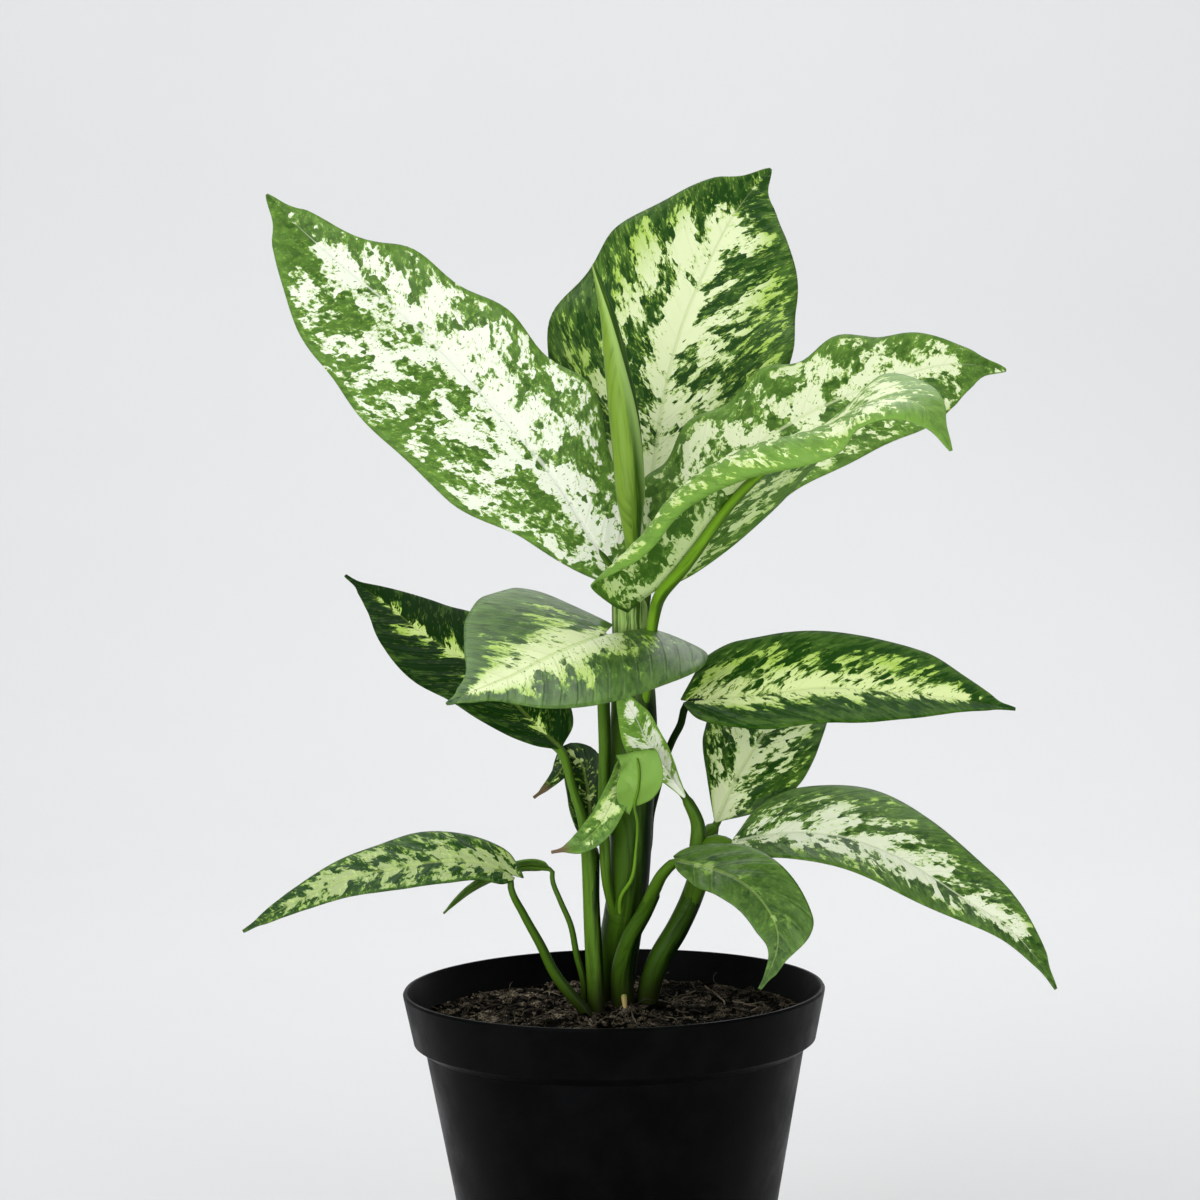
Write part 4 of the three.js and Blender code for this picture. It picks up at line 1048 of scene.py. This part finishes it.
def young_leaf_material(s):
    """A rolled leaf whose outer edge winds round it, pale, with painted shade in the crease beside
    it.
    """
    material, w, shader = new_material("young_leaf", 0.15)
    pattern = w.group(shared(stem_pattern_group), {"Seed": 5.0})
    place = w.split(w.uv("place"))
    turned = w.math("FRACT", w.plus(place[0], 0.3))
    beyond = w.plus(turned, w.scaled(place[1], 0.42, -0.69))
    past = w.between(beyond, 0.0, 0.01)
    margin = w.times(w.between(beyond, -0.16, -0.03), w.minus(1.0, past))
    # painted shade in the crease just past the outer edge
    crease_shade = w.times(past, w.between(beyond, 0.03, 0.1, 1.0, 0.0))
    # painted light and shade round the rolled leaf, with the stem pattern's streaks
    colour = w.mix(pattern["Light"], s.young_shade, s.young)
    colour = w.mix(w.times(crease_shade, 0.8), colour, blend_colours(s.dark, s.light, 0.3))
    colour = w.mix(w.times(margin, 0.6), colour, s.pale)
    rough = w.between(pattern["Light"], 0, 1, 0.46, 0.36)
    set_surface(w, shader, colour, rough, w.scaled(margin, 1.5, pattern["Height"]), 0.3, 0.5)
    return material


def root_material(s):
    """A root that turns from green to tan towards its tip."""
    material, w, shader = new_material("root_nub", 0.2)
    pattern = w.group(shared(stem_pattern_group), {"Seed": 8.0})
    tip = w.between(w.split(w.uv("place"))[1], 0.0, 0.5)
    colour = w.mix(w.times(pattern["Pale"], 0.3), w.mix(tip, s.light, s.root), s.dark)
    rough = w.between(pattern["Light"], 0, 1, 0.7, 0.5)
    set_surface(w, shader, colour, rough, pattern["Height"], 0.3, 0.5)
    return material


def soil_material(name, dark, light, scale, dry=(0.45, 0.75)):
    """Damp peat, drier where the broad grain lies in the dry range, and lighter towards the left as
    painted light.
    """
    material, w, shader = new_material(name, 0.02)
    grain = w.group(shared(grain_group), {"Scale": scale, "Detail": 5.0})
    share = w.times(w.between(grain["Broad"], *dry), w.between(grain["Fine"], 0.42, 0.6))
    at = w.split(w.add("ShaderNodeTexCoord").outputs["Object"])
    # painted light: lighter towards the left, darker towards the right
    share = w.times(share, w.between(at[0], -0.03, 0.03, 1.0, 0.4))
    rough = w.between(grain["Fine"], 0.3, 0.7, 0.98, 0.75)
    set_surface(w, shader, w.mix(share, dark, light), rough, grain["Fine"], 1.0)
    return material


def pot_material(s):
    """Satin black plastic with faintly lighter, rougher patches."""
    material, w, shader = new_material("black_plastic", 0.04)
    grain = w.group(shared(grain_group), {"Scale": 900.0, "Detail": 2.0})
    colour = w.mix(w.between(grain["Broad"], 0.35, 0.75), s.colour, s.dust)
    rough = w.between(grain["Broad"], 0.3, 0.7, 0.34, 0.5)
    set_surface(w, shader, colour, rough, grain["Fine"], 0.06, 0.6)
    return material


def stage_material(tint):
    """An even matt floor."""
    material, w, shader = new_material("pale_floor", 0.1)
    grain = w.group(shared(grain_group), {"Scale": 60.0, "Detail": 3.0})
    darker = [c * 0.985 for c in tint]
    w.put(shader["Base Color"], w.mix(grain["Broad"], tint, darker))
    w.put(shader["Roughness"], w.between(grain["Fine"], 0.3, 0.7, 0.8, 0.95))
    return material


# ---------- settings ----------
def length(label, description, default_mm, **limits):
    return FloatProperty(name=label, description=description, default=default_mm * MM,
                         unit="LENGTH", precision=5, **limits)


def colour(label, description, default):
    return FloatVectorProperty(name=label, description=description, default=default,
                               subtype="COLOR_GAMMA", min=0, max=1)


def power(label, description, default):
    return FloatProperty(name=label, description=description, default=default, unit="POWER", min=0)


class LeafSettings(bpy.types.PropertyGroup):
    """Sizes and colours of the leaves"""
    thickness: length("Blade thickness", "Thickness of each leaf blade", 0.5, min=0.0001)
    relief: length("Vein relief", "Height of the ribs over the side veins", 0.22)
    dark: colour("Dark green", "Darkest green of the upper side", (0.11, 0.27, 0.03))
    deep: colour("Deep green", "Darkest green of the shaded leaves", (0.03, 0.14, 0.01))
    light: colour("Light green", "Lightest green of the upper side", (0.47, 0.64, 0.26))
    yellow: colour("Yellow-green", "Edges of the patches", (0.71, 0.84, 0.36))
    cream: colour("Cream", "Patches on the darker leaves", (0.89, 0.95, 0.64))
    white: colour("Pale cream", "Patches on the palest leaves", (0.985, 1.0, 0.93))
    under: colour("Underside", "Tint of the underside", (0.57, 0.73, 0.34))
    rib: colour("Midrib", "Midrib on the underside", (0.47, 0.66, 0.10))
    dry: colour("Dry tip", "Withered tips", (0.45, 0.38, 0.27))


class StemSettings(bpy.types.PropertyGroup):
    """Colours of the stems and stalks"""
    dark: colour("Dark green", "Shaded side and base of the stems", (0.015, 0.09, 0.0))
    light: colour("Light green", "Young stems and stalks", (0.42, 0.59, 0.14))
    pale: colour("Pale", "Pale flecks near the top of the main stem", (0.68, 0.81, 0.46))
    # dirt and painted shade where the stems come out of the soil
    soiled: colour("Soiled", "Stems where they come out of the soil", (0.10, 0.11, 0.02))
    young: colour("Young leaf", "The rolled leaf at the top", (0.48, 0.61, 0.20))
    # its darker streaks and the painted shade of its shaded side
    young_shade: colour("Young leaf, shaded", "Its darker streaks", (0.10, 0.26, 0.0))
    root: colour("Root tip", "Tan root nub at the soil", (0.72, 0.62, 0.40))


class SoilSettings(bpy.types.PropertyGroup):
    """Amounts and colours of the potting soil"""
    crumbs: IntProperty(name="Crumbs", description="Loose crumbs on the soil", default=900, min=0)
    fibres: IntProperty(name="Fibres", description="Peat fibres on the soil", default=420, min=0)
    dark: colour("Dark", "Damp peat", (0.012, 0.011, 0.004))
    light: colour("Light", "Dry fibres and crumbs", (0.70, 0.64, 0.55))


class PotSettings(bpy.types.PropertyGroup):
    """Colours of the pot"""
    colour: colour("Plastic", "Black plastic", (0.006, 0.007, 0.008))
    dust: colour("Dust", "Faintly lighter patches", (0.025, 0.028, 0.03))


class StageSettings(bpy.types.PropertyGroup):
    """Floor and lights"""
    floor: colour("Floor", "Floor and backdrop", (0.87, 0.87, 0.87))
    key: power("Key light", "Power of the main light", 11.0)
    fill: power("Fill light", "Power of the softer side light", 9.0)
    back: power("Back light", "Power of the light from behind", 3.0)
    backdrop: power("Backdrop light", "Power of the light on the backdrop", 21.0)
    sky: FloatProperty(name="Sky", description="Strength of the even surrounding light",
                       default=0.44, min=0)


# ---------- finishing a piece ----------
def finish_piece(obj, node, materials):
    """Gives a piece its materials, hangs it from the root and hides the model part that it
    replaces.
    """
    for material in materials:
        obj.data.materials.append(material)
    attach(obj, "root")
    if node:
        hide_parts(node)


# ---------- stems ----------
def grow_stem(name, skin):
    """A stem as a tube, with the root nub that the front shoot puts down."""
    stem = STEMS[name]
    piece = tube(name + "_grown", stem["path"], lambda t: through(stem["radius"], t),
                 STEM_SIDES, STEM_ROWS)
    piece.data.materials.append(skin)
    if name == "shoot_front":
        nub = tube("root_nub", ROOT_NUB, lambda t: ROOT_NUB_RADIUS * (1 - ROOT_NUB_TAPER * t),
                   sides=12, rows=16)
        nub.data.materials.append(root_material(bpy.context.scene.dieff_stems))
        piece = join([piece, nub], name + "_grown")
    finish_piece(piece, name, ())


# ---------- soil ----------
def soil_height(x, y):
    """Height of the soil's surface above SOIL_TOP, in millimetres."""
    r = math.hypot(x, y)
    uneven = 0
    for size, height, layer in (CLODS, LUMPS):
        uneven += height * noise.noise(Vector((x / size, y / size, layer)))
    size, height, layer = GRAINS
    uneven += height * noise.fractal(Vector((x / size, y / size, layer)), 0.8, 2.1, 4)
    edge = min(1.0, max(0.0, (SOIL_RADIUS - r) / LEVEL_EDGE))
    return MOUND_HEIGHT * math.exp(-(r / MOUND_REACH) ** 2) + edge * uneven


def soil_bed(name):
    """A grid rolled into a disc for the top, then down the side and in along the bottom."""
    obj, around, down = add_grid(name, SOIL_COLUMNS, SOIL_ROWS)
    angle = FULL_TURN * around
    top = down < TOP_SHARE
    at, radii, heights = zip(*SOIL_SIDE)
    r = np.where(top, SOIL_RADIUS * down / TOP_SHARE, np.interp(down, at, radii))
    z = np.where(top, SOIL_TOP, np.interp(down, at, heights))
    x, y = r * np.cos(angle), -r * np.sin(angle)
    rise = np.array([soil_height(a, b) if on else 0 for a, b, on in zip(x, y, top)])
    place_points(obj, np.stack([x, y, z + rise], 1))
    set_maps(obj, (around, down), (x / 10, y / 10))
    close_up(obj)
    smooth(obj)
    return obj


def scatter(random, count):
    """Random places spread evenly over the soil."""
    r = (SOIL_RADIUS - CLEAR_EDGE) * np.sqrt(random.random(count))
    a = FULL_TURN * random.random(count)
    return [(x, y, SMALL_CRUMB) for x, y in zip(r * np.cos(a), r * np.sin(a))]


def round_the_stems(random, count):
    """Random places close around each stem and stalk that stands in the soil."""
    standing = [(leaf["stalk"], leaf["stalk_radius"]) for leaf in LEAVES.values()
                if "host" not in leaf]
    standing += [(stem["path"], stem["radius"]) for stem in STEMS.values()]
    places = []
    for path, radii in standing:
        if path[0][2] > SOIL_TOP:
            continue
        share = np.linspace(0, 1, HOST_STEPS)
        at, _ = path_through(path, share)
        nearest = np.abs(at[:, 2] - SOIL_TOP).argmin()
        x, y, _ = at[nearest]
        reach = through(radii, share)[nearest]
        for a in FULL_TURN * (np.arange(count) + random.random(count)) / count:
            r = reach + STEM_CRUMBS_REACH * random.random() - STEM_CRUMBS_OVERLAP
            places.append((x + r * math.cos(a), y + r * math.sin(a), LARGE_CRUMB))
    return places


def merged(name, template, copies):
    """One mesh of many copies of a template mesh, each with its own points."""
    base = np.zeros(len(template.vertices) * 3)
    template.vertices.foreach_get("co", base)
    base = base.reshape(-1, 3)
    faces = [tuple(p.vertices) for p in template.polygons]
    points, polygons = [], []
    for number, shape in enumerate(copies):
        points.append(shape(base))
        shift = number * len(base)
        polygons += [tuple(v + shift for v in face) for face in faces]
    mesh = bpy.data.meshes.new(name)
    mesh.from_pydata(np.concatenate(points) * MM, [], polygons)
    obj = bpy.data.objects.new(name, mesh)
    bpy.context.scene.collection.objects.link(obj)
    return obj


def take_mesh():
    """The mesh of the active object, which is removed."""
    obj = bpy.context.object
    mesh = obj.data
    bpy.data.objects.remove(obj)
    return mesh


def soil_crumbs(name, count, random):
    """Lumpy crumbs, half sunk into the soil, and larger ones around the stems."""
    select_none()
    bpy.ops.mesh.primitive_ico_sphere_add(subdivisions=2, radius=1)
    template = take_mesh()

    def crumb(x, y, smallest):
        size = smallest + CRUMB_RANGE * random.random() ** CRUMB_RARITY
        stretch = random.random(3) * CRUMB_VARIETY + CRUMB_FORM
        turn = np.array(Matrix.Rotation(ANY_TURN * random.random(), 3, "Z"))
        tilt = np.array(Matrix.Rotation(CRUMB_TILT * random.random(), 3, "X"))
        lump = random.random() * 50
        height = SOIL_TOP + soil_height(x, y) + size * CRUMB_RISE

        def shape(base):
            rough = [noise.noise(Vector(p) * 2.1 + Vector((lump, 0, 0))) for p in base]
            swollen = 1 + CRUMB_ROUGHNESS * np.array(rough)
            points = base * swollen[:, None] * size * stretch
            return points @ tilt @ turn + (x, y, height)
        return shape

    places = scatter(random, count) + round_the_stems(random, STEM_CRUMBS)
    return merged(name, template, [crumb(*place) for place in places])


def soil_fibres(name, count, random):
    """Thin bent rods that lie on the soil, some with one end up."""
    select_none()
    bpy.ops.mesh.primitive_cylinder_add(vertices=5, radius=1, depth=1)
    bpy.ops.object.mode_set(mode="EDIT")
    bpy.ops.mesh.select_all(action="SELECT")
    bpy.ops.mesh.subdivide(number_cuts=7)
    bpy.ops.object.mode_set(mode="OBJECT")
    template = take_mesh()

    def fibre(x, y):
        size = FIBRE_LENGTH + FIBRE_RANGE * random.random() ** 2
        thick = FIBRE_RADIUS + FIBRE_SWELL * random.random()
        turn = ANY_TURN * random.random()
        bend = random.normal(0, FIBRE_BEND)
        lift = random.random() ** 3 * FIBRE_LIFT

        def shape(base):
            t = base[:, 2]
            heading = turn + bend * 2 * t
            px = x + size * t * np.cos(heading) - thick * base[:, 0] * np.sin(heading)
            py = y + size * t * np.sin(heading) + thick * base[:, 0] * np.cos(heading)
            inside = SOIL_RADIUS - FIBRE_CLEARANCE
            limit = inside / np.maximum(np.hypot(px, py), inside)
            px, py = px * limit, py * limit
            ground = np.array([soil_height(a, b) for a, b in zip(px, py)])
            pz = SOIL_TOP + ground + FIBRE_RISE + lift * size * (t + 0.5) + thick * base[:, 1]
            return np.stack([px, py, pz], 1)
        return shape

    return merged(name, template, [fibre(x, y) for x, y, _ in scatter(random, count)])


# ---------- pot ----------
def make_pot(name):
    """A disc whose rim is extruded up the outside of the pot, over the lip and down its inside."""
    select_none()
    first, height = POT_RINGS[0]
    bpy.ops.mesh.primitive_circle_add(vertices=POT_STEPS, radius=first * MM, fill_type="NGON",
                                      location=(0, 0, height * MM))
    pot = bpy.context.object
    pot.name = pot.data.name = name
    bpy.ops.object.mode_set(mode="EDIT")
    bpy.ops.mesh.select_all(action="DESELECT")
    bpy.ops.mesh.select_non_manifold()
    for (r0, z0), (r1, z1) in zip(POT_RINGS, POT_RINGS[1:]):
        bpy.ops.mesh.extrude_edges_move(
            TRANSFORM_OT_translate={"value": (0, 0, (z1 - z0) * MM)})
        bpy.ops.transform.resize(value=(r1 / r0, r1 / r0, 1), center_override=(0, 0, 0))
    bpy.ops.mesh.fill_holes(sides=0)
    bpy.ops.mesh.select_all(action="SELECT")
    bpy.ops.mesh.normals_make_consistent(inside=False)
    bpy.ops.object.mode_set(mode="OBJECT")
    bpy.ops.object.transform_apply(location=True, rotation=True, scale=True)
    drill(pot)
    select_only(pot)
    bpy.ops.object.shade_smooth_by_angle(angle=SHARP_EDGE)
    return pot


def drill(pot):
    """Cuts the drainage holes through the base."""
    cutters = []
    for i in range(DRAIN_HOLES):
        a = FULL_TURN * i / DRAIN_HOLES
        at = Vector((math.cos(a), math.sin(a), 0)) * DRAIN_CIRCLE * MM
        bpy.ops.mesh.primitive_cylinder_add(vertices=DRAIN_STEPS, radius=DRAIN_RADIUS * MM,
                                            depth=DRAIN_DEPTH * MM, location=at)
        cutters.append(bpy.context.object)
    cutter = join(cutters, "drain_cutter")
    apply_modifier(pot, "BOOLEAN", operation="DIFFERENCE", object=cutter, solver="EXACT")
    bpy.data.objects.remove(cutter)


# ---------- stage ----------
def add_floor(tint):
    """A pale floor that curves up into a backdrop behind the plant."""
    floor, across, along = add_grid("floor", 2, FLOOR_ROWS)
    flat, rise = along < 0.5, np.clip(along - 0.75, 0, 1)
    sweep = np.clip((along - 0.5) / 0.25, 0, 1) * math.pi / 2
    y = np.where(flat, FLOOR_FRONT + (FLOOR_BACK - FLOOR_FRONT) * along / 0.5,
                 FLOOR_BACK + FLOOR_BEND * np.sin(sweep))
    z = np.where(flat, 0, FLOOR_BEND * (1 - np.cos(sweep))) + WALL_HEIGHT * rise / 0.25
    place_points(floor, np.stack([(across - 0.5) * FLOOR_WIDTH, y, z], 1))
    smooth(floor)
    floor.data.materials.append(stage_material(tint))
    floor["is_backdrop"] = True


def add_sky(strength):
    world = bpy.data.worlds.new("even_light")
    world.use_nodes = True
    back = world.node_tree.nodes["Background"]
    back.inputs["Color"].default_value = linear(SKY_TINT)
    back.inputs["Strength"].default_value = strength
    bpy.context.scene.world = world


def add_light(name, at, size, watts, target):
    """A square soft light, turned towards the plant or another target."""
    target = Vector(target or (0, 0, CAD_BOX[1].z * AIM))
    select_none()
    bpy.ops.object.light_add(type="AREA", location=at)
    light = bpy.context.object
    light.name = name
    light.data.energy = watts
    light.data.size = size
    light.rotation_euler = (Vector(at) - target).to_track_quat("Z", "Y").to_euler()


def add_camera():
    camera = bpy.data.objects.new("camera", bpy.data.cameras.new("camera"))
    bpy.context.scene.collection.objects.link(camera)
    camera.data.sensor_width = 36.0
    camera.data.lens = CAMERA_LENS
    turn = Matrix.Rotation(CAMERA_TURN, 4, "Z")
    tilt = Matrix.Rotation(math.pi / 2 + CAMERA_PITCH, 4, "X")
    roll = Matrix.Rotation(CAMERA_ROLL, 4, "Z")
    camera.matrix_world = Matrix.Translation(CAMERA_AT) @ turn @ tilt @ roll
    bpy.context.scene.camera = camera


# ---------- steps and panel ----------
class DIEFF_OT_leaves(bpy.types.Operator):
    """Shape and colour every leaf"""
    bl_idname = "dieff.leaves"
    bl_label = "Leaves"

    def execute(self, context):
        s = context.scene.dieff_leaves
        stems = context.scene.dieff_stems
        for name, leaf in LEAVES.items():
            look = {**LOOK_DEFAULTS, **LOOKS[name]}
            upper = leaf_material(name + "_upper", look, s)
            under = leaf_material(name + "_under", look, s, underside=True)
            green = blend_colours(stems.dark, stems.light, look["stalk"])
            # the colour of the stalk's side in painted shade
            shade = blend_colours(green, stems.dark, 0.5)
            skin = stem_material(name + "_stalk", shade, green, stems.soiled, look["seed"])
            blade = make_blade(name + "_blade", leaf, s.thickness / MM, s.relief / MM,
                               (upper, under, skin))
            stalk = make_stalk(name + "_stalk", leaf)
            for material in (upper, under, skin):
                stalk.data.materials.append(material)
            for face in stalk.data.polygons:
                face.material_index = 2
            piece = join([blade, stalk], name + "_grown")
            finish_piece(piece, name, ())
        return {"FINISHED"}


class DIEFF_OT_stems(bpy.types.Operator):
    """Shape and colour the main stem, the side shoots and the rolled young leaf"""
    bl_idname = "dieff.stems"
    bl_label = "Stems"

    def execute(self, context):
        s = context.scene.dieff_stems
        for number, (name, light, rings) in enumerate(STEM_LOOKS):
            light = blend_colours(s.dark, s.light, light)
            pale = s.pale if name == "stem_main" else None
            skin = stem_material(name + "_skin", s.dark, light, s.soiled, number, rings, pale)
            grow_stem(name, skin)
        grow_stem("young_leaf_rolled", young_leaf_material(s))
        return {"FINISHED"}


class DIEFF_OT_soil(bpy.types.Operator):
    """Fill the pot with potting soil, crumbs and fibres"""
    bl_idname = "dieff.soil"
    bl_label = "Soil"

    def execute(self, context):
        s = context.scene.dieff_soil
        bed = soil_bed("soil_bed")
        finish_piece(bed, "soil", [soil_material("peat", s.dark, s.light, 900.0)])
        random = np.random.default_rng(SOIL_SEED)
        crumbs = soil_crumbs("soil_crumbs", s.crumbs, random)
        peat = soil_material("peat_crumbs", s.dark, s.light, 2500.0, dry=(0.42, 0.66))
        finish_piece(crumbs, None, [peat])
        fibres = soil_fibres("soil_fibres", s.fibres, random)
        straw = blend_colours(s.dark, s.light, 0.3)
        peat = soil_material("peat_fibres", straw, s.light, 300.0)
        finish_piece(fibres, None, [peat])
        return {"FINISHED"}


class DIEFF_OT_pot(bpy.types.Operator):
    """Turn the nursery pot"""
    bl_idname = "dieff.pot"
    bl_label = "Pot"

    def execute(self, context):
        piece = make_pot("nursery_pot")
        finish_piece(piece, "pot", [pot_material(context.scene.dieff_pot)])
        return {"FINISHED"}


class DIEFF_OT_stage(bpy.types.Operator):
    """Put up the floor, the lights and the camera"""
    bl_idname = "dieff.stage"
    bl_label = "Stage"

    def execute(self, context):
        s = context.scene.dieff_stage
        add_floor(s.floor)
        add_sky(s.sky)
        for kind, (at, size, target) in LIGHTS.items():
            add_light(kind + "_light", at, size, getattr(s, kind), target)
        add_camera()
        context.scene.view_settings.view_transform = "Standard"
        return {"FINISHED"}


class DIEFF_PT_panel(bpy.types.Panel):
    """Steps and settings of the plant"""
    bl_label = "Dieffenbachia"
    bl_space_type = "VIEW_3D"
    bl_region_type = "UI"
    bl_category = "Dieffenbachia"

    def draw(self, context):
        for step in STEPS:
            self.layout.operator(step.bl_idname)
        for name, settings in SETTINGS.items():
            box = self.layout.box()
            for key in settings.__annotations__:
                box.prop(getattr(context.scene, name), key)


# ---------- add-on ----------
STEPS = (DIEFF_OT_stage, DIEFF_OT_pot, DIEFF_OT_soil, DIEFF_OT_stems, DIEFF_OT_leaves)
SETTINGS = {"dieff_leaves": LeafSettings, "dieff_stems": StemSettings,
            "dieff_soil": SoilSettings, "dieff_pot": PotSettings, "dieff_stage": StageSettings}


def register():
    for cls in (*SETTINGS.values(), *STEPS, DIEFF_PT_panel):
        bpy.utils.register_class(cls)
    for name, settings in SETTINGS.items():
        setattr(bpy.types.Scene, name, PointerProperty(type=settings))


def unregister():
    for name in SETTINGS:
        delattr(bpy.types.Scene, name)
    for cls in (DIEFF_PT_panel, *reversed(STEPS), *SETTINGS.values()):
        bpy.utils.unregister_class(cls)


def main():
    register()
    bpy.ops.dieff.stage()
    bpy.ops.dieff.pot()
    bpy.ops.dieff.soil()
    bpy.ops.dieff.stems()
    bpy.ops.dieff.leaves()
    boxes = {"cad": CAD_BOX, "visual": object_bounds()}
    {key: [list(corner) for corner in box] for key, box in boxes.items()}


if __name__ == "__main__":
    main()
